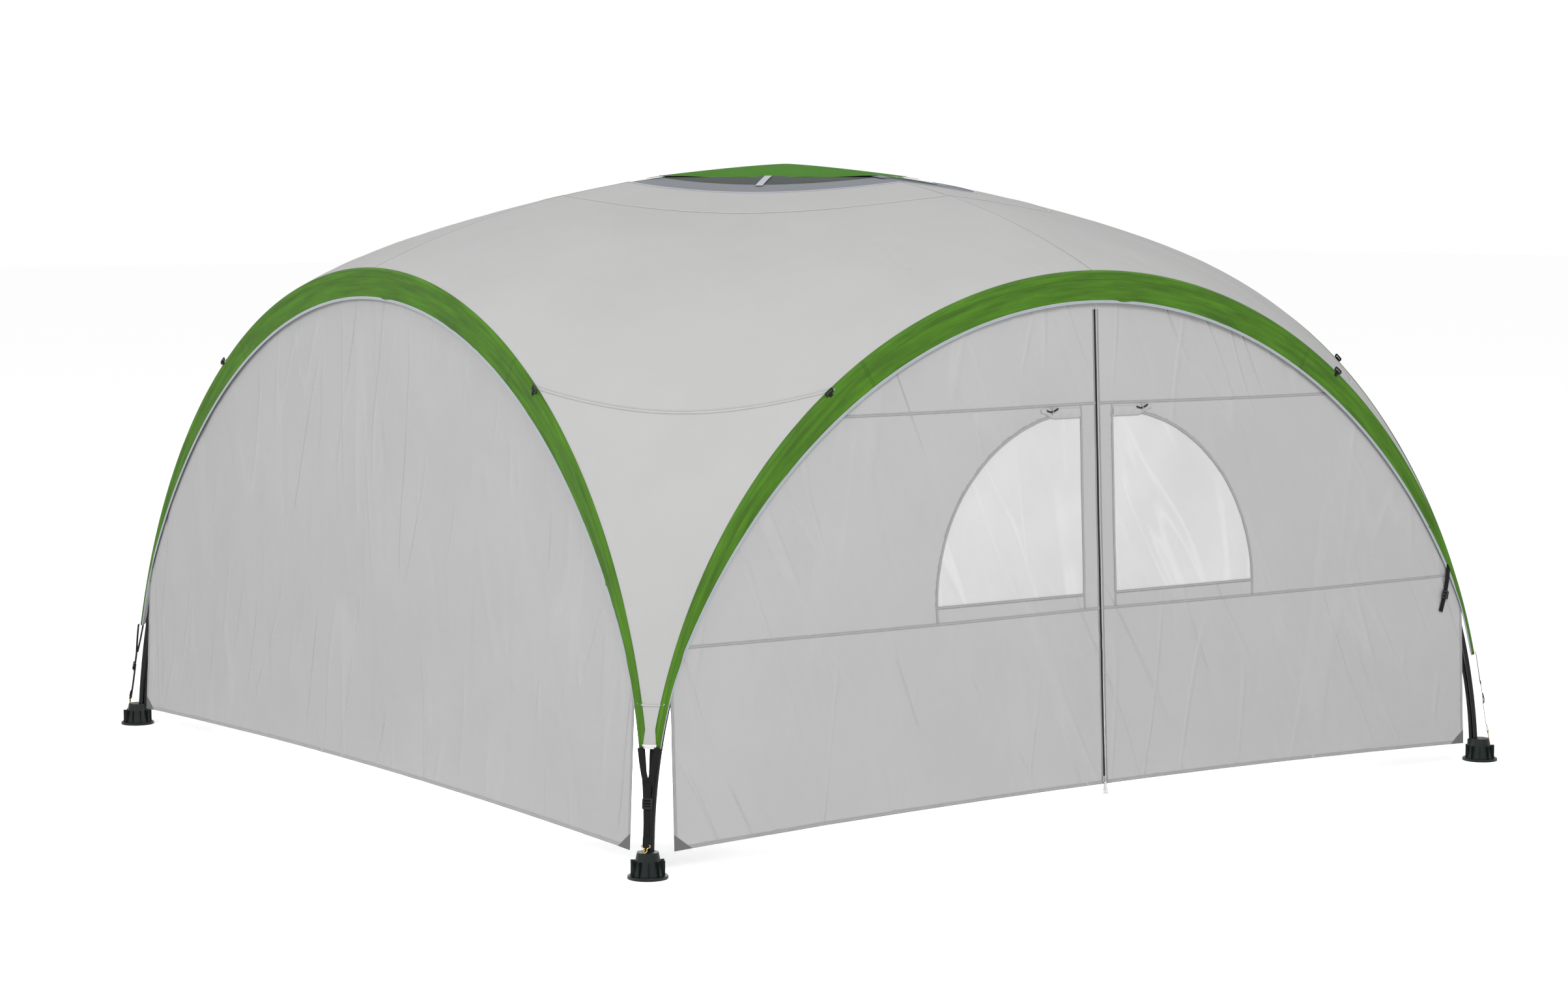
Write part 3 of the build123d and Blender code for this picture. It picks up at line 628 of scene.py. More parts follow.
def tape_material(name, colour, rows=(-0.003, 0.003)):
    """A sewn tape: fine cross ribs and rows of stitches, placed by its length and width."""
    n = Nodes(name, 0.75)
    n.shader.inputs["Sheen Weight"].default_value = 0.2
    length, width, _ = n.split(n.uv)
    ribs = n.wave(length, 0.0016)
    tone = n.mix(n.span(n.noise(25.0, 3.0), 0.3, 0.7), scaled(colour, 0.9), colour)
    thread = n.line(width, rows[0], 0.0006)
    for row in rows[1:]:
        thread = n.math("MAXIMUM", thread, n.line(width, row, 0.0006))
    thread = n.math("MULTIPLY", thread, n.dashes(length, 0.0035, 0.3))
    tone = n.mix(thread, tone, scaled(colour, 0.6))
    normal = n.bump(thread, 0.0004, 0.7, n.bump(ribs, 0.0001, 0.6))
    return n.finish(tone, None, normal)


def band_material(name, colour):
    """The green band: cloth with its sleeve's stitching, cross seams and lengthwise pulls. The pulls are
    painted darker in their hollows and lighter on their ridges: painted shade and painted highlight.
    """
    n = Nodes(name, 0.6, specular=0.2)
    length, depth, _ = n.split(n.uv)
    pulls = n.noise(9.0, 5.0, 0.6, n.mapped(n.uv, (0.45, 5.0, 1.0)))
    # painted shade and highlight: the colour follows the pulls' relief, darker in the hollows and lighter on
    # the ridges
    tone = n.mix(n.span(pulls, 0.3, 0.7), scaled(colour, 0.60), scaled(colour, 1.30))
    rows = n.math("MAXIMUM", n.line(depth, SLEEVE_DEPTH, 0.0007), n.line(depth, 0.002, 0.0007))
    thread = n.math("MULTIPLY", rows, n.dashes(length, 0.004, 0.25))
    seam = n.line(n.away(n.math("ABSOLUTE", length), BAND_SEAM), 0.004, 0.0011)
    marks = n.math("MAXIMUM", thread, seam)
    tone = n.mix(n.math("MULTIPLY", marks, 0.8), tone, scaled(colour, 0.35))
    sleeve = n.span(n.away(depth, SLEEVE_DEPTH), 0.0, 0.004)
    normal = n.bump(pulls, 0.0040, 1.0, weave(n))
    normal = n.bump(sleeve, 0.0008, 0.8, normal)
    rough = n.span(pulls, 0.3, 0.7, 0.55, 0.68)
    return n.finish(tone, rough, normal)


def webbing_material(name, colour):
    """Woven strap: slanting ribs that meet in the middle, painted lighter on their tops and darker in the
    grooves between them as painted highlight and painted shade.
    """
    n = Nodes(name, 0.7, specular=0.15)
    length, width, _ = n.split(n.uv)
    slant = n.math("ADD", length, n.math("ABSOLUTE", width))
    height = n.math("ADD", n.wave(slant, 0.0022), n.math("MULTIPLY", n.wave(width, 0.0016), 0.5))
    # painted highlight and shade: the colour follows the ribs' height, lighter on top and darker in the
    # grooves
    tone = n.mix(n.span(height, -1.2, 1.2), scaled(colour, 0.5), scaled(colour, 1.6))
    return n.finish(tone, None, n.bump(height, 0.0002, 0.7))


def plastic_material(name, colour, roughness=0.42):
    """Moulded plastic: a fine grain, a few scuffs and duller worn spots."""
    n = Nodes(name, roughness, specular=0.25)
    scuffs = n.span(n.noise(60.0, 6.0, 0.7, n.mapped(n.place, (1, 1, 4))), 0.55, 0.75)
    tone = n.mix(n.math("MULTIPLY", scuffs, 0.35), colour, tuple(c * 0.9 + 0.008 for c in colour))
    rough = n.span(scuffs, 0.0, 1.0, roughness, roughness + 0.2)
    return n.finish(tone, rough, n.bump(n.noise(1800.0, 2.0, 0.6), 0.00008, 0.6))


def paint_material(name, colour, roughness=0.33):
    """Powder-coated tube: orange peel, and dull rub marks along it."""
    n = Nodes(name, roughness, specular=0.25)
    rub = n.span(n.noise(35.0, 5.0, 0.65, n.mapped(n.place, (1, 1, 0.15))), 0.55, 0.8)
    tone = n.mix(n.math("MULTIPLY", rub, 0.4), colour, tuple(c * 2.0 + 0.003 for c in colour))
    rough = n.span(rub, 0.0, 1.0, roughness, roughness + 0.25)
    return n.finish(tone, rough, n.bump(n.noise(700.0, 2.0), 0.0001, 0.4))


def metal_material(name, colour, roughness=0.3):
    """Plated wire or collar: drawn lines and a little tarnish."""
    n = Nodes(name, roughness, 1.0)
    tarnish = n.span(n.noise(80.0, 5.0, 0.65), 0.45, 0.75)
    tone = n.mix(tarnish, colour, scaled(colour, 0.55))
    drawn = n.noise(600.0, 2.0, 0.5, n.mapped(n.place, (1, 1, 0.05)))
    rough = n.span(tarnish, 0.0, 1.0, roughness, roughness + 0.25)
    return n.finish(tone, rough, n.bump(drawn, 0.00005, 0.5))


def film_material(name):
    """Translucent window sheet: milky, with fine packing creases whose lines are painted lighter, a painted
    highlight where they catch the light.
    """
    n = Nodes(name, 0.35, specular=0.3)
    n.shader.inputs["Alpha"].default_value = 0.86
    n.shader.inputs["IOR"].default_value = 1.45
    one = straight_creases(n, (0.0, 0.5, 0.0), 7.0, 0.40)
    two = straight_creases(n, (0.0, 0.15, 0.0), 5.0, 0.44)
    creases = n.math("MAXIMUM", one, two)
    haze = n.span(n.noise(3.0, 4.0), 0.3, 0.7)
    tone = n.mix(haze, (0.45, 0.45, 0.45), (0.50, 0.50, 0.50))
    # painted highlight: the crease lines are painted lighter
    tone = n.mix(n.math("MULTIPLY", creases, 0.35), tone, (0.60, 0.60, 0.60))
    normal = n.bump(n.noise(9.0, 4.0, 0.5), 0.0015, 0.8)
    return n.finish(tone, None, n.bump(creases, 0.0012, 1.0, normal))


def net_material(name, colour):
    """Fine insect netting: threads both ways, with the holes between them painted dark as the painted shade
    of the hollow behind.
    """
    n = Nodes(name, 0.8)
    x, y, _ = n.split(n.place)
    grid = n.math("MINIMUM", *(n.math("ABSOLUTE", n.wave(part, 0.0032)) for part in (x, y)))
    # painted shade: the holes between the threads are darker, as the shaded hollow seen through them
    tone = n.mix(n.span(grid, 0.1, 0.7), scaled(colour, 1.8), scaled(colour, 0.3))
    return n.finish(tone, None, n.bump(grid, 0.0003, 0.8))


SIDE_SLANT = (-0.15, 0.0, 0.0)
ROOF_CLOTH = cloth_material(
    "roof_cloth", (0.318, 0.318, 0.316), creased=0.0002, keep=0.60, crinkle=0.0007,
    turn=(0.3, 0.3, 0.0), crease_highlight=0.0,
)
WALL_CLOTH = cloth_material("wall_cloth", (0.332, 0.332, 0.332))
# painted shade: the side wall takes the wall cloth made a shade darker than the front wall's
SHADED_SIDE_CLOTH = cloth_material("shaded_side_cloth", (0.326, 0.326, 0.326), turn=SIDE_SLANT)
CAP_CLOTH = cloth_material("cap_cloth", (0.034, 0.140, 0.001), roughness=0.85, mottle=0.88, crease_highlight=0.0)
BAND_CLOTH = band_material("band_cloth", (0.042, 0.122, 0.004))
PATCH_CLOTH = cloth_material("patch_cloth", (0.105, 0.105, 0.105))
# painted shadow: the roof ring round the netting, and the tabs beside it, are painted a darker blue-grey for
# the cap's shadow
CAP_SHADOW_CLOTH = cloth_material("cap_shadow_cloth", (0.155, 0.165, 0.18))
BLIND_CLOTH = cloth_material("blind_cloth", (0.33, 0.33, 0.33), crinkle=0.002)
ROOF_TAPE = tape_material("roof_seam_tape", (0.315, 0.313, 0.31))
SEAM_TAPE = tape_material("seam_tape", (0.245, 0.245, 0.245))
BINDING_TAPE = tape_material("binding_tape", (0.27, 0.295, 0.325), rows=(0.0,))
GREEN_TAPE = tape_material("green_tape", (0.055, 0.17, 0.009), rows=(0.0,))
ZIP_TAPE = tape_material("zip_tape", (0.19, 0.19, 0.19), rows=(-0.002,))
WHITE_TAPE = tape_material("white_tape", (0.55, 0.55, 0.55), rows=(0.0,))
NET_CLOTH = net_material("vent_net", (0.025, 0.036, 0.032))
WEBBING_BLACK = webbing_material("black_webbing", (0.004, 0.004, 0.0045))
FOOT_PLASTIC = plastic_material("foot_plastic", (0.003, 0.006, 0.0055))
BUCKLE_PLASTIC = plastic_material("buckle_plastic", (0.005, 0.005, 0.0055), 0.35)
COIL_PLASTIC = plastic_material("coil_plastic", (0.002, 0.002, 0.002), 0.5)
PULL_PLASTIC = plastic_material("pull_plastic", (0.50, 0.50, 0.49), 0.38)
POLE_PAINT = paint_material("pole_paint", (0.003, 0.004, 0.004))
FERRULE_METAL = metal_material("ferrule_metal", (0.05, 0.05, 0.052))
BRASS_WIRE = metal_material("brass_wire", (0.52, 0.36, 0.13))
ZIP_METAL = metal_material("zip_metal", (0.45, 0.45, 0.45))
FILM = film_material("window_film")


def show_cad(material, names):
    """Gives CAD nodes that stay in view their finish."""
    for name in names:
        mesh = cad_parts[name].data
        mesh.materials.clear()
        mesh.materials.append(material)


# ---- roof ---------------------------------------------------------------------------------------
def roof_creases(points, seed):
    """Soft pulls in the tight roof, which fan out from the tops of the arches."""
    plan = points[..., :2]
    box = ((-1.75, 0.0), (-1.75, 0.0))
    lift = crease_field(plan, seed, 60, box, math.pi / 4, 0.9, (0.25, 0.9), (0.012, 0.035), (0.0002, 0.0009))
    for middle, angle in (((-0.35, -1.62), 1.9), ((-1.62, -0.35), -0.3)):
        box = tuple((m - 0.28, m + 0.28) for m in middle)
        lift += crease_field(
            plan, seed + 5, 22, box, angle, 0.35, (0.15, 0.55), (0.010, 0.022), (0.0005, 0.0016)
        )
    return lift


def border_fade(rows, cols, reach=5):
    """0 on a grid's border and 1 inside, so that neighbouring sheets still meet."""
    i = np.minimum(np.arange(rows), np.arange(rows)[::-1])[:, None]
    j = np.minimum(np.arange(cols), np.arange(cols)[::-1])[None, :]
    return np.clip(np.minimum(i, j) / reach, 0, 1)


def roof_sheet(name, lines, quarter, seed, node):
    """One roof panel with its creases, turned to its corner."""
    points = roof_points(lines[..., 0], lines[..., 1])
    lift = roof_creases(points, seed) * border_fade(*points.shape[:2])
    points = points + grid_normals(points) * lift[..., None]
    obj = place(grid_sheet(name, turned(points, quarter), ROOF_CLOTH), [node])


def roof_tape(line, quarter, width, material, lift=0.0008, thickness=0.0009):
    """A tape that follows the roof along a line of west and south."""
    line = np.asarray(line, float)
    west, south = line[:, 0], line[:, 1]
    here = roof_points(west, south)
    step = 1e-3
    out = np.cross(
        roof_points(west - step, south) - roof_points(west + step, south),
        roof_points(west, south - step) - roof_points(west, south + step),
    )
    out /= np.linalg.norm(out, axis=-1, keepdims=True)
    path = turned(here + out * lift, quarter)
    return ribbon("tape", path, turned(out, quarter), material, width, thickness)


def build_roof():
    turns = np.linspace(0, math.acos(LOWER_SEAM / ARCH_TOP), 80, endpoint=False)
    side = np.stack([np.sin(turns), np.ones(len(turns))], axis=-1)
    border = np.concatenate([side, level_line(LOWER_SEAM, 110), side[::-1, ::-1]])
    shoulder = between(quarter_ring(SEAM_RADIUS, len(border) - 1), border, 90)
    corner = np.stack([level_line(h, 70) for h in np.linspace(LOWER_SEAM, TIP_HEIGHT, 110)])
    crown = between(quarter_ring(VENT_RADIUS, 90), quarter_ring(SEAM_RADIUS, 90), 24)
    crown_points = roof_points(crown[..., 0], crown[..., 1])
    crown_parts, seams, edging = [], [], []
    for quarter, name in enumerate(CORNERS):
        roof_sheet(f"roof_cloth_{name}", shoulder, quarter, 11 + quarter, f"roof_panel_{name}")
        roof_sheet(f"corner_cloth_{name}", corner, quarter, 31 + quarter, f"roof_corner_{name}")
        crown_parts.append(grid_sheet("crown", turned(crown_points, quarter), ROOF_CLOTH))
        seams.append(roof_tape(quarter_ring(SEAM_RADIUS, 60), quarter, 0.010, ROOF_TAPE))
        seams.append(roof_tape(level_line(LOWER_SEAM, 60), quarter, 0.010, ROOF_TAPE))
        seams.append(roof_tape(level_line(TIP_PATCH_TOP, 20), quarter, 0.008, ROOF_TAPE))
        tip = level_line(TIP_HEIGHT + 0.006, 12)
        edging.append(roof_tape(tip, quarter, 0.013, WHITE_TAPE, 0.0012, 0.0014))
    crown_cloth = place(join("crown_cloth", crown_parts), ["roof_crown"])
    place(join("roof_seams", seams))
    place(join("tip_edging", edging), ["tip_patches"])


# ---- crown vent ---------------------------------------------------------------------------------
def cap_points(quarter):
    """A quarter of the vent cap: taut over the hub, with edges that hang a little between corners."""
    count = 40
    share = np.linspace(0.015, 1, count)[:, None]
    across = np.linspace(0, 1, count)[None, :]
    hang = 0.006 * share**6 * np.sin(math.pi * across)
    ripple = 0.0012 * share**3 * np.sin(across * 23 + quarter)
    height = CAP_TOP - (CAP_TOP - CAP_EDGE) * share**1.3 - hang + ripple
    west, south = share * CAP_HALF * across, share * CAP_HALF * (1 - across)
    return np.stack([-west, -south, height], axis=-1)


def build_vent():
    ring = between(quarter_ring(MESH_RADIUS, 70), quarter_ring(VENT_RADIUS, 70), 10)
    net = between(quarter_ring(HUB_RADIUS, 60), quarter_ring(MESH_RADIUS, 60), 30)
    rings, nets, ties, caps = [], [], [], []
    for quarter in range(4):
        # the ring round the netting takes the darker blue-grey of the cap's painted shadow
        for rows, material, made in ((ring, CAP_SHADOW_CLOTH, rings), (net, NET_CLOTH, nets)):
            points = roof_points(rows[..., 0], rows[..., 1])
            points[..., 2] -= 0.001
            made.append(grid_sheet("part", turned(points, quarter), material))
        rings.append(roof_tape(quarter_ring(VENT_RADIUS, 60), quarter, 0.012, BINDING_TAPE))
        points = cap_points(quarter)
        caps.append(grid_sheet("part", turned(points, quarter), CAP_CLOTH))
        caps.append(ribbon("part", turned(points[-1], quarter), (0, 0, 1), GREEN_TAPE, 0.012, 0.0012))
        middle = np.stack([np.linspace(0.395, 0.60, 14)] * 2, axis=-1) / math.sqrt(2) / HALF_SPAN * 1.01
        ties.append(roof_tape(middle, quarter, 0.026, BINDING_TAPE, 0.003, 0.001))
        tab = np.stack([np.zeros(8), np.linspace(0.535, 0.612, 8)], axis=-1) / HALF_SPAN * 1.01
        ties.append(roof_tape(tab, quarter, 0.034, CAP_SHADOW_CLOTH, 0.003, 0.0012))
    ring_cloth = place(join("vent_ring_cloth", rings), ["vent_ring"])
    netting = place(join("vent_netting", nets), ["vent_mesh"])
    cap = place(join("vent_cap_cloth", caps), ["vent_cap"])
    place(join("vent_tie_tapes", ties), ["vent_ties"])


# ---- arch bands ---------------------------------------------------------------------------------
def band_points():
    """Grid of the green band: over the arch's edge from the roof, then down its plane."""
    turns = np.linspace(-VALANCE_END, VALANCE_END, 321)
    length = np.concatenate([[0], np.cumsum(np.hypot(*np.diff(np.stack(arch_edge(turns, 0.0)), axis=1)))])
    length -= length[-1] / 2
    deep = fabric_depth(turns) + BINDING / 2
    rows, uvs = [], []
    for inset in (0.013, 0.009, 0.005, 0.002):
        wrap = roof_points(np.abs(np.sin(turns)), 1 - inset / HALF_SPAN)
        wrap[:, 0] *= -np.sign(turns)
        wrap += np.stack([np.sin(turns), 0 * turns, np.cos(turns)], axis=-1) * 0.0016
        rows.append(wrap)
        uvs.append(np.stack([length, 0 * turns - inset], axis=-1))
    for share in np.linspace(0, 1, 19):
        depth = share * deep
        x, up = arch_edge(turns, depth)
        places = np.stack([length, depth], axis=-1)
        box = ((-2.4, 2.4), (0.0, 0.1))
        pulls = crease_field(places, 61, 110, box, 0.0, 0.22, (0.10, 0.45), (0.005, 0.012), (0.0004, 0.0016))
        gathers = crease_field(places, 62, 60, box, 1.3, 0.3, (0.03, 0.09), (0.006, 0.012), (0.0003, 0.0010))
        sleeve = 0.0030 * np.exp(-(((depth - 0.011) / 0.008) ** 2))
        calm = smooth_step(depth, 0.0, 0.012)
        out = sleeve + calm * np.clip(pulls + gathers, -0.0015, 0.003) + 0.0006
        rows.append(on_arch(x, up, out))
        uvs.append(np.stack([length, depth], axis=-1))
    return np.stack(rows), np.stack(uvs), turns


def build_bands():
    points, uvs, turns = band_points()
    x, up = arch_edge(turns, fabric_depth(turns) + BINDING / 2)
    bindings, loops = [], []
    for quarter, side in enumerate(SIDES):
        band = grid_sheet(f"band_cloth_{side}", turned(points, quarter), BAND_CLOTH, uvs)
        place(band, [f"valance_{side}"])
        path = turned(on_arch(x, up, 0.0008), quarter)
        bindings.append(ribbon("b", path, turned(ARCH_OUT, quarter), BINDING_TAPE, BINDING, 0.0016))
    place(join("band_bindings", bindings), ["valance_bindings"])


# ---- walls --------------------------------------------------------------------------------------
def wall_loop(x0, x1, top):
    """Outline of a wall between x0 and x1, from its hem up to the line that top gives."""
    xs = np.linspace(x0, x1, max(int((x1 - x0) / 0.012), 8))
    lower = np.stack([xs, hem_height(xs)], axis=-1)
    upper = np.stack([xs, top(xs)], axis=-1)[::-1]
    right = np.linspace(lower[-1], upper[0], max(int((upper[0, 1] - lower[-1, 1]) / 0.014), 3))
    left = np.linspace(upper[-1], lower[0], max(int((upper[-1, 1] - lower[0, 1]) / 0.014), 3))
    return np.concatenate([lower, right[1:-1], upper, left[1:-1]])


def window_loop(side, grow=0.0):
    """Outline of a quarter-round window, straight beside the zip."""
    turns = np.linspace(0, math.pi / 2, 80)
    x = WINDOW_IN - grow + (WINDOW_W + 2 * grow) * np.cos(turns)
    up = WINDOW_SILL - grow + (WINDOW_H + 2 * grow) * np.sin(turns)
    round_side = np.stack([x, up], axis=-1)
    down = np.linspace(round_side[-1], (WINDOW_IN - grow, WINDOW_SILL - grow), 60)[1:]
    along = np.linspace(down[-1], round_side[0], 60)[1:-1]
    return np.concatenate([round_side, down, along]) * (side, 1)


def wall_cloth(name, loop, holes, relief, material, quarter=0, spacing=0.012, thickness=CLOTH, out=0.0):
    """A sheet of wall cloth inside an outline, with its creases."""
    flat, faces = filled(loop, holes, spacing)
    points = draped(*flat.T, relief, out)
    obj = make_object(name, turned(points, quarter), faces, material)
    return thicken(obj, thickness)


def wall_tape(xs, ups, relief, material, width, quarter=0, out=0.0006, thickness=0.0008):
    """A tape on the wall's outer face along a line."""
    xs, ups = np.broadcast_arrays(np.asarray(xs, float), np.asarray(ups, float))
    path = turned(draped(xs, ups, relief, out), quarter)
    return ribbon("tape", path, turned(WALL_OUT, quarter), material, width, thickness)


def corner_patch(side, relief, quarter=0):
    """The darker triangle sewn over a wall's lower corner."""
    x0, x1 = side * WALL_HALF, side * (WALL_HALF - PATCH[0])
    loop = [(x0, WALL_CORNER), (x0, WALL_CORNER + PATCH[1]), (x1, float(hem_height(x1)))]
    flat, faces = filled(loop, spacing=0.008)
    points = draped(*flat.T, relief, 0.0012)
    return thicken(make_object("patch", turned(points, quarter), faces, PATCH_CLOTH), 0.0008)


def edge_tapes(x0, x1, relief, quarter=0, ends=(True, True)):
    """Hem tape from x0 to x1, and tapes up the wall's outer edges."""
    xs = np.linspace(x0, x1, max(int((x1 - x0) / 0.03), 12))
    made = [wall_tape(xs, hem_height(xs) + 0.006, relief, SEAM_TAPE, 0.012, quarter)]
    for side, wanted in zip((-1, 1), ends):
        if wanted:
            edge = side * (WALL_HALF - 0.006)
            ups = np.linspace(WALL_CORNER + 0.004, float(arch_height(edge, WALL_TOP)) - 0.005, 40)
            made.append(wall_tape(edge, ups, relief, SEAM_TAPE, 0.012, quarter))
    return made


def build_side_wall():
    loop = wall_loop(-WALL_HALF, WALL_HALF, lambda x: arch_height(x, WALL_TOP))
    cloth = wall_cloth("side_wall_cloth", loop, [], side_relief, SHADED_SIDE_CLOTH, LEFT, 0.013)
    place(cloth, ["side_wall"])
    tapes = join("side_wall_tapes", edge_tapes(-WALL_HALF + 0.002, WALL_HALF - 0.002, side_relief, LEFT))
    place(tapes, ["side_hem"])
    patches = join("side_corner_patches", [corner_patch(s, side_relief, LEFT) for s in (-1, 1)])
    place(patches, ["side_wall_patches"])


def half_top(x):
    """Top line of half the door wall: under the arch beside the leaf, and under the header over it."""
    share = smooth_step(np.abs(x), LEAF_HINGE + 0.001, LEAF_HINGE + 0.05)
    low = arch_height(x, HEADER) - HALF_SLIT
    return low + (arch_height(x, WALL_TOP) - low) * share


def swinging(obj, side):
    """Bakes a piece's transform into its mesh. The points either side of a leaf's fold line are worked out
    but not used.
    """
    outer = side * (LEAF_HINGE + LEAF_FOLD)
    inner = side * (LEAF_HINGE - LEAF_FOLD)
    start, end = on_wall(outer, 0.7).tolist(), on_wall(inner, 0.7).tolist()
    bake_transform(obj)
    return obj


def build_door_half(side, name):
    """One half of the door wall: the fixed strip and the leaf, which are one cloth."""
    leaf = f"leaf_{name}"
    inner = PART_X - HALF_SLIT if side < 0 else PART_X + HALF_SLIT
    x0, x1 = (-WALL_HALF, inner) if side < 0 else (inner, WALL_HALF)
    loop = wall_loop(x0, x1, half_top)
    cloth = wall_cloth(f"door_cloth_{name}", loop, [window_loop(side)], front_relief, WALL_CLOTH)
    swinging(cloth, side)
    place(cloth, [f"door_wall_{name}", f"door_leaf_{name}"], None)

    tapes = edge_tapes(x0 + 0.001, x1 - 0.001, front_relief, ends=(side < 0, side > 0))
    for up, droop in ((SEAM_LOW, 0.004), (SEAM_HIGH, 0.006)):
        reach = WALL_TOP[0] * math.sqrt(1 - (up / WALL_TOP[1]) ** 2) - 0.008
        reach = min(reach, WALL_HALF - 0.004)
        xs = np.linspace(*((-reach, x1 - 0.004) if side < 0 else (x0 + 0.004, reach)), 120)
        ups = up - droop * np.sin(math.pi * np.abs(xs) / 1.7)
        tapes.append(wall_tape(xs, ups, front_relief, SEAM_TAPE, 0.010))
    hems = swinging(join(f"door_tapes_{name}", tapes), side)
    place(hems, ["door_wall_hems", f"leaf_hem_{name}"], None)

    film = wall_cloth(
        f"window_sheet_{name}", window_loop(side, 0.005), [], front_relief, FILM, spacing=0.012,
        thickness=0.0005, out=-0.0008,
    )
    place(film, [f"window_{name}"], leaf)
    build_window_frame(side, name, leaf)
    build_blind(side, name, leaf)


def build_window_frame(side, name, leaf):
    """Tapes round a window, the flap over its head and the strips beside it."""
    turns = np.linspace(-0.085, math.pi / 2 - 0.02, 90)
    xs = side * (WINDOW_IN + WINDOW_W * np.cos(turns))
    ups = WINDOW_SILL + WINDOW_H * np.sin(turns)
    made = [wall_tape(xs, ups, front_relief, SEAM_TAPE, 0.009, out=0.0009)]
    ups = np.linspace(SEAM_LOW + 0.003, SEAM_HIGH - 0.004, 80)
    made.append(wall_tape(side * WINDOW_IN, ups, front_relief, SEAM_TAPE, 0.008, out=0.0008))
    xs = side * np.linspace(WINDOW_IN - 0.002, WINDOW_IN + WINDOW_W, 90)
    made.append(wall_tape(xs, WINDOW_SILL, front_relief, SEAM_TAPE, 0.008, out=0.0010))
    place(join(f"window_tapes_{name}", made), body=leaf)

    xs = side * np.linspace(WINDOW_IN + 0.004, WINDOW_IN + FLAP_SPAN, 60)[None, :]
    share = np.linspace(0, 1, 9)[:, None]
    edge = 0.030 - 0.020 * smooth_step(np.abs(xs), WINDOW_IN + 0.11, WINDOW_IN + FLAP_SPAN)
    ups = WINDOW_SILL + WINDOW_H + 0.012 - (edge + 0.004) * share
    puff = 0.0030 * np.sin(math.pi * share) * (1 + 0.35 * np.sin(xs * 140)) + 0.0008
    parts = [grid_sheet("flap", draped(xs, ups, front_relief, puff), BLIND_CLOTH)]
    middle = side * 0.196
    knot = [(-0.022, 1.352), (-0.006, 1.347), (0.010, 1.350), (0.026, 1.357)]
    knot_line = [on_wall(middle + x, up, 0.006) for x, up in knot]
    parts.append(rod("toggle", smooth_path(knot_line, 20), 0.0028, BUCKLE_PLASTIC))
    loop_rise = [(1.366, 0.002), (1.352, 0.009), (1.338, 0.005)]
    loop_line = [on_wall(middle + 0.002, up, out) for up, out in loop_rise]
    parts.append(rod("loop", smooth_path(loop_line, 16), 0.0015, SEAM_TAPE))
    place(join(f"window_flap_{name}", parts), body=leaf)


def build_blind(side, name, leaf):
    """The blind rolled up behind the window's head, held by two ties."""
    low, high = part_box(f"blind_{name}")
    centre, half = (low + high) / 2, (high - low) / 2
    radius = float(half.z)
    turns = np.linspace(0, 5 * math.pi, 120)[None, :]
    spots = np.linspace(-1, 1, 50)[:, None]
    swell = 1 - 0.05 * np.cos(spots * 9) - 0.12 * np.exp(-(((np.abs(spots) - 0.5) / 0.05) ** 2))
    coil = radius * (0.45 + 0.52 * turns / turns.max()) * swell
    x = centre.x + spots * float(half.x) * (1 - 0.03 * turns / turns.max())
    roll = np.stack(
        [x * np.ones_like(turns), centre.y + coil * np.cos(turns), centre.z + coil * np.sin(turns)], axis=-1
    )
    cloth = place(grid_sheet(f"blind_roll_{name}", roll, BLIND_CLOTH), [f"blind_{name}"], leaf)
    ties = []
    for spot in (-0.5, 0.5):
        angles = np.linspace(0, 2 * math.pi, 40)
        line = np.stack(
            [
                centre.x + spot * half.x + 0 * angles,
                centre.y + radius * 0.93 * np.cos(angles),
                centre.z + radius * 0.93 * np.sin(angles),
            ],
            axis=-1,
        )
        facing = np.stack([0 * angles, np.cos(angles), np.sin(angles)], axis=-1)
        ties.append(ribbon("tie", line, facing, WEBBING_BLACK, 0.010, 0.0010))
    straps = place(join(f"blind_ties_{name}", ties), body=leaf)


def build_header():
    xs = np.linspace(-LEAF_HINGE + 0.001, LEAF_HINGE - 0.001, 150)
    low = arch_height(xs, HEADER) + HALF_SLIT + 0.001
    rows = between(np.stack([xs, low], -1), np.stack([xs, arch_height(xs, WALL_TOP)], -1), 8)
    points = draped(rows[..., 0], rows[..., 1], front_relief)
    obj = place(grid_sheet("door_header_cloth", points, WALL_CLOTH), ["door_header"])


def build_front_patches():
    patches = join("door_corner_patches", [corner_patch(s, front_relief) for s in (-1, 1)])
    place(patches, ["door_wall_patches"])


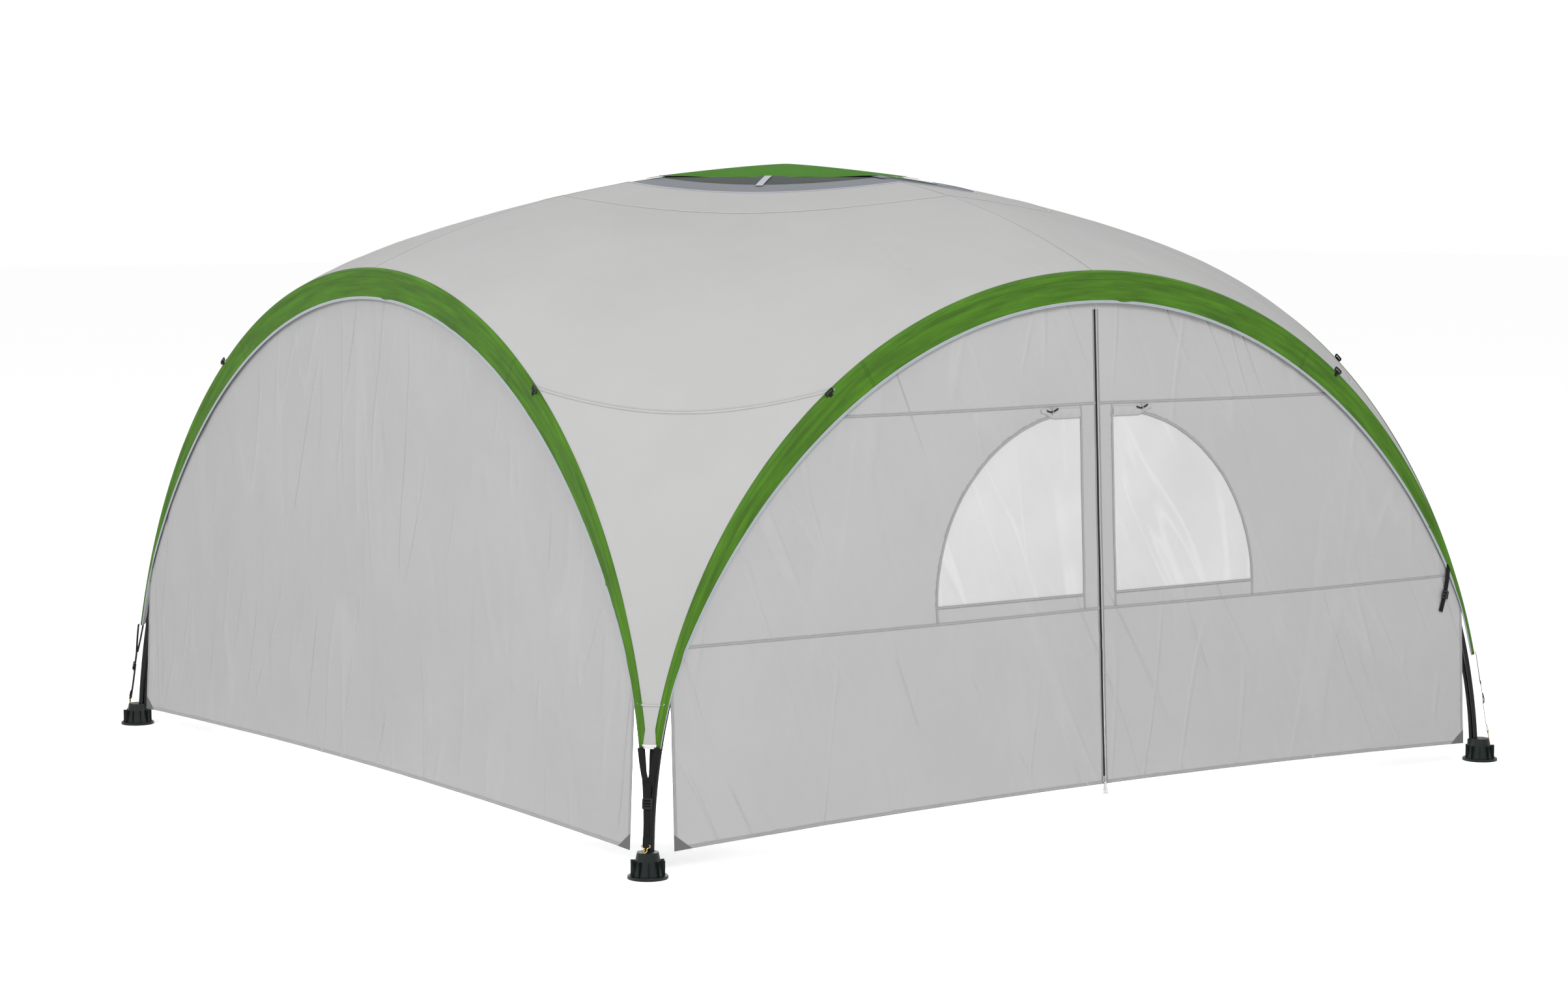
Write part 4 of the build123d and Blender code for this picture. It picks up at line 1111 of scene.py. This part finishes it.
# ---- zip ----------------------------------------------------------------------------------------
def build_zip():
    """Coil teeth on the left leaf, with a tape each side."""
    bottom = float(hem_height(0)) + 0.003
    count = int((ZIP_TOP - bottom) / ZIP_PITCH)
    block = np.array([(x, up, out) for out in (-1, 1) for up in (-1, 1) for x in (-1, -0.8, 0.8, 1)], float)
    vertices, faces = [], []
    relief = front_relief(np.zeros(count), bottom + ZIP_PITCH * np.arange(count))
    for i in range(count):
        for side in (-1, 1):
            start = len(vertices)
            centre = (side * 0.0016, bottom + ZIP_PITCH * (i + 0.25 * side), relief[i] + 0.0014)
            for x, up, out in block:
                tall = out * (0.0010 if abs(x) < 0.9 else 0.0005)
                spot = (centre[0] + x * 0.0023, centre[1] + up * 0.00052, centre[2] + tall)
                vertices.append(on_wall(*spot))
            for k in range(3):
                a = start + k
                faces.append((a, a + 1, a + 5, a + 4))
                faces.append((a + 8, a + 12, a + 13, a + 9))
                faces.append((a, a + 8, a + 9, a + 1))
                faces.append((a + 4, a + 5, a + 13, a + 12))
            faces.append((start, start + 4, start + 12, start + 8))
            faces.append((start + 3, start + 11, start + 15, start + 7))
    teeth = outward(make_object("teeth", vertices, faces, COIL_PLASTIC))
    ups = np.linspace(bottom - 0.001, ZIP_TOP, 160)
    cord = wall_tape(0.0, ups, front_relief, COIL_PLASTIC, 0.0050, out=0.0004, thickness=0.0016)
    place(join("zip_coil", [teeth, cord]), ["zip_chain"], "leaf_left")
    for side, x in (("left", -0.0072), ("right", 0.0125)):
        tape = wall_tape(x, ups, front_relief, ZIP_TAPE, 0.0060, out=0.0005, thickness=0.0006)
        tape.name = f"zip_tape_{side}"
        place(tape, body=f"leaf_{side}")


def shaped(name, loop, holes, make_point, material, thickness, bevel):
    """A plate cut to an outline, with rounded edges, laid where make_point puts its flat places."""
    flat, faces = filled(loop, holes, spacing=0.004)
    mesh_points = [make_point(x, up) for x, up in flat]
    return thicken(make_object(name, mesh_points, faces, material), thickness, 1.0, bevel)


def rounded_loop(width, height, radius, middle=(0.0, 0.0), count=6):
    """Outline of a rectangle with rounded corners."""
    loop = []
    for k, (sx, sy) in enumerate(((1, 1), (-1, 1), (-1, -1), (1, -1))):
        for a in np.linspace(0, math.pi / 2, count) + k * math.pi / 2:
            x = middle[0] + sx * (width / 2 - radius) + radius * math.cos(a)
            loop.append((x, middle[1] + sy * (height / 2 - radius) + radius * math.sin(a)))
    return loop


def leaned(x, y, lean):
    """A flat place turned by an angle."""
    c, s = math.cos(lean), math.sin(lean)
    return x * c - y * s, x * s + y * c


def tear_loop(length, wide, narrow, lean, top, count=14):
    """Outline of a hanging tear-shaped tab, round at its wide lower end."""
    loop = []
    for a in np.linspace(math.pi, 2 * math.pi, count):
        loop.append((wide / 2 * math.cos(a), -length + wide / 2 + wide / 2 * math.sin(a)))
    for a in np.linspace(0, math.pi, count):
        loop.append((narrow / 2 * math.cos(a), -narrow / 2 + narrow / 2 * math.sin(a)))
    return [tuple(np.add(top, leaned(x, y, lean)).tolist()) for x, y in loop]


def circle_loop(radius, middle, count=16):
    turns = np.linspace(0, 2 * math.pi, count, endpoint=False)
    return [(middle[0] + radius * math.cos(a), middle[1] + radius * math.sin(a)) for a in turns]


def build_slider():
    """The slider's body and bridge, and its two tear-shaped pulls."""
    low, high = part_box("zip_slider")
    up = float((low.z + high.z) / 2) / math.cos(math.atan(WALL_LEAN))
    plate = rounded_loop(0.013, 0.021, 0.004, (0.0, up))
    body = shaped("body", plate, [], lambda x, y: on_wall(x, y, 0.0024), ZIP_METAL, 0.0019, 0.0005)
    arch = [(-0.008, 0.0042), (-0.006, 0.0062), (0.002, 0.0068), (0.007, 0.0058), (0.008, 0.0042)]
    bridge = rod("bridge", smooth_path([on_wall(0.0, up + h, out) for h, out in arch], 24), 0.0011, ZIP_METAL)
    place(join("zip_slider_body", [body, bridge]), ["zip_slider"], "slider")
    low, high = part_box("zip_pulls")
    length = float(high.z - low.z) - 0.001
    top = float(high.z) - 0.0005
    parts = []
    for lean, out in ((math.radians(-9), 0.0048), (math.radians(9), 0.0073)):
        loop = tear_loop(length, 0.0125, 0.007, lean, (0.0, top))
        hole = (math.sin(lean) * (length - 0.009), top - (length - 0.009) * math.cos(lean))
        holes = [circle_loop(0.0024, hole), circle_loop(0.0014, (math.sin(lean) * 0.004, top - 0.004), 10)]
        parts.append(
            shaped("tab", loop, holes, lambda x, y, o=out: on_wall(x, y, o), PULL_PLASTIC, 0.0016, 0.0005)
        )
    place(join("zip_pull_tabs", parts), ["zip_pulls"], "pulls")


# ---- straps, buckles and hooks ------------------------------------------------------------------
def strap_frame():
    """Foot, up, across and out of the front left corner strap's plane."""
    foot = np.array([-STRAP_FOOT_R, -STRAP_FOOT_R, 0]) / math.sqrt(2) + (0, 0, STRAP_HOOK_Z)
    top = np.array([-STRAP_TOP_R, -STRAP_TOP_R, 0]) / math.sqrt(2) + (0, 0, TIP_HEIGHT)
    length = float(np.linalg.norm(top - foot))
    up = (top - foot) / length
    across = np.array([1, -1, 0]) / math.sqrt(2)
    out = np.cross(across, up)
    return foot, up, across, out, length


def build_straps():
    foot, up, across, out, length = strap_frame()
    junction, lock = length - 0.105, length - 0.170

    def spot(x, y, lift=0.0):
        return foot + across * x + up * y + out * lift

    locks, hooks = [], []
    for quarter, name in enumerate(CORNERS):
        facing = turned(out, quarter)
        parts = []
        for side in (-1, 1):
            line = [(0.026, length + 0.004), (0.017, junction + 0.05), (0.004, junction - 0.006)]
            lift = 0.0004 if side < 0 else 0.0017
            path = smooth_path([spot(side * x, y, lift) for x, y in line], 24)
            parts.append(ribbon("leg", turned(path, quarter), facing, WEBBING_BLACK, 0.019, 0.0013))
        through_lock = [
            (junction + 0.004, 0.0032), (lock + 0.02, 0.0024), (lock, 0.0044), (lock - 0.014, 0.0018)
        ]
        round_hook = [
            (lock + 0.010, 0.0008), (lock * 0.5, 0.0), (0.006, 0.0006),
            (-0.001, 0.0030), (0.010, 0.0046), (0.032, 0.0030),
        ]
        for line, count, thickness in ((through_lock, 30, 0.0013), (round_hook, 50, 0.0012)):
            path = smooth_path([spot(0, y, lift) for y, lift in line], count)
            parts.append(ribbon("strap", turned(path, quarter), facing, WEBBING_BLACK, WEBBING, thickness))
        place(join(f"corner_webbing_{name}", parts), [f"corner_strap_{name}"])
        plate = rounded_loop(0.029, 0.032, 0.003, (0.0, lock + 0.006))
        slots = [rounded_loop(0.021, 0.0045, 0.001, (0.0, lock + 0.006 + dy)) for dy in (0.008, 0.0, -0.008)]

        def lock_point(x, y, q=quarter):
            return turned(spot(x, y, 0.0034 + 0.0022 * math.cos((y - lock - 0.006) / 0.016 * math.pi / 2)), q)

        locks.append(shaped("lock", plate, slots, lock_point, BUCKLE_PLASTIC, 0.0026, 0.0006))
        eye = [(-0.012, 0.001), (-0.012, 0.006), (0.0, 0.0085), (0.012, 0.006), (0.012, 0.001)]
        bend = [(0.004, -0.004), (0.003, -0.012), (-0.004, -0.017), (-0.006, -0.011), (-0.003, -0.007)]
        wire = [spot(x, y, 0.0030) for x, y in [(-0.003, -0.004), *eye, *bend]]
        hooks.append(rod("hook", turned(smooth_path(wire, 90), quarter), 0.0017, BRASS_WIRE))
    place(join("ladder_lock_set", locks), ["ladder_locks"])
    place(join("hook_wires", hooks), ["strap_hooks"])


def build_guy_loops():
    """A short webbing loop and a toggle where each guy line would tie on."""
    parts = []
    turn_at = math.asin(GUY_X / HALF_SPAN)
    for quarter in range(4):
        for side in (-1, 1):
            x, up = arch_edge(side * turn_at, -0.009)
            lean = -side * math.atan2(x * side / HALF_SPAN**2, up / ARCH_TOP**2)

            def tab_point(px, py, out=0.0022):
                dx, dy = leaned(px, py, lean)
                return on_arch(x + dx, up + dy, out)

            def toggle_point(px, py):
                return turned(tab_point(px, py), quarter)

            plate = rounded_loop(0.034, 0.016, 0.005)
            slot = rounded_loop(0.022, 0.005, 0.002)
            parts.append(shaped("toggle", plate, [slot], toggle_point, BUCKLE_PLASTIC, 0.0030, 0.0007))
            line = [(-0.024, 0.0018), (-0.010, 0.0030), (-0.001, 0.0044), (-0.006, 0.0052)]
            path = turned(smooth_path([tab_point(0, py, out) for py, out in line], 20), quarter)
            parts.append(ribbon("loop", path, turned(ARCH_OUT, quarter), WEBBING_BLACK, 0.015, 0.0010))
    place(join("guy_toggles", parts), ["guy_loops"])


def build_spare_strap():
    """The loose tie-down strap at the right end of the front band, with its buckle."""
    x, up = arch_edge(math.radians(66), 0.030)
    line = [(0.010, 0.008, 0.0014), (0.002, -0.045, 0.003), (-0.011, -0.100, 0.002), (-0.032, -0.160, 0.0014)]
    path = smooth_path([on_arch(x + dx, up + dy, out) for dx, dy, out in line], 40)
    strap = ribbon("strap", path, ARCH_OUT, WEBBING_BLACK, WEBBING, 0.0014)

    def buckle_point(px, py):
        dx, dy = leaned(px, py, math.radians(-15))
        return on_arch(x - 0.011 + dx, up - 0.100 + dy, 0.0036)

    plate = rounded_loop(0.030, 0.030, 0.004)
    slots = [rounded_loop(0.021, 0.006, 0.001, (0.0, dy)) for dy in (-0.006, 0.006)]
    buckle = shaped("buckle", plate, slots, buckle_point, BUCKLE_PLASTIC, 0.0030, 0.0007)
    place(join("spare_webbing", [strap, buckle]), ["spare_strap"])


# ---- stage, lights and camera -------------------------------------------------------------------
def add_lamp(name, spot, size, power):
    lamp = bpy.data.lights.new(name, "AREA")
    lamp.size = size
    lamp.energy = power
    obj = added(name, lamp)
    obj.location = spot
    return obj


def build_stage():
    bpy.ops.mesh.primitive_plane_add(size=160, location=(0, 0, 0))
    floor = bpy.context.object
    floor.name = "floor"
    n = Nodes("floor_white", 0.9)
    tone = n.mix(n.noise(0.4, 2.0), (0.975, 0.975, 0.975), (0.985, 0.985, 0.985))
    floor.data.materials.append(n.finish(tone))

    world = bpy.data.worlds.new("studio")
    world.use_nodes = True
    backdrop = world.node_tree.nodes["Background"]
    backdrop.inputs["Color"].default_value = (1.0, 1.0, 1.0, 1.0)
    backdrop.inputs["Strength"].default_value = 1.0
    bpy.context.scene.world = world
    bpy.context.scene.view_settings.view_transform = "Standard"

    for name, spot, power in (("key", (-2.5, -8.5, 8.5), 620.0), ("side", (-9.5, -1.5, 6.5), 400.0)):
        obj = add_lamp(name, spot, 3.5, power)
        obj.rotation_mode = "QUATERNION"
        obj.rotation_quaternion = (Vector((0, 0, 1.0)) - Vector(spot)).to_track_quat("-Z", "Y")
    add_lamp("inside", (0.0, 0.0, 1.55), 1.3, 90.0).visible_camera = False


def build_camera():
    yaw, pitch = CAMERA_TURN
    ahead = Vector((math.sin(yaw) * math.cos(pitch), math.cos(yaw) * math.cos(pitch), math.sin(pitch)))
    right = Vector((math.cos(yaw), -math.sin(yaw), 0.0))
    up = right.cross(ahead)
    lens = bpy.data.cameras.new("camera")
    lens.lens = CAMERA_LENS
    lens.sensor_width = 36.0
    camera = added("camera", lens)
    turn = Matrix((right, up, -ahead)).transposed().to_4x4()
    camera.matrix_world = Matrix.Translation(CAMERA_PLACE) @ turn
    bpy.context.scene.camera = camera


build_roof()
build_vent()
build_bands()
build_side_wall()
build_door_half(-1, "left")
build_door_half(1, "right")
build_header()
build_front_patches()
build_zip()
build_slider()
build_straps()
build_guy_loops()
build_spare_strap()
show_cad(FOOT_PLASTIC, [f"foot_{corner}" for corner in CORNERS] + ["crown_hub"])
show_cad(POLE_PAINT, [f"arch_pole_{side}" for side in SIDES] + [f"roof_pole_{c}" for c in CORNERS])
show_cad(FERRULE_METAL, ["pole_ferrules"])
build_stage()
build_camera()
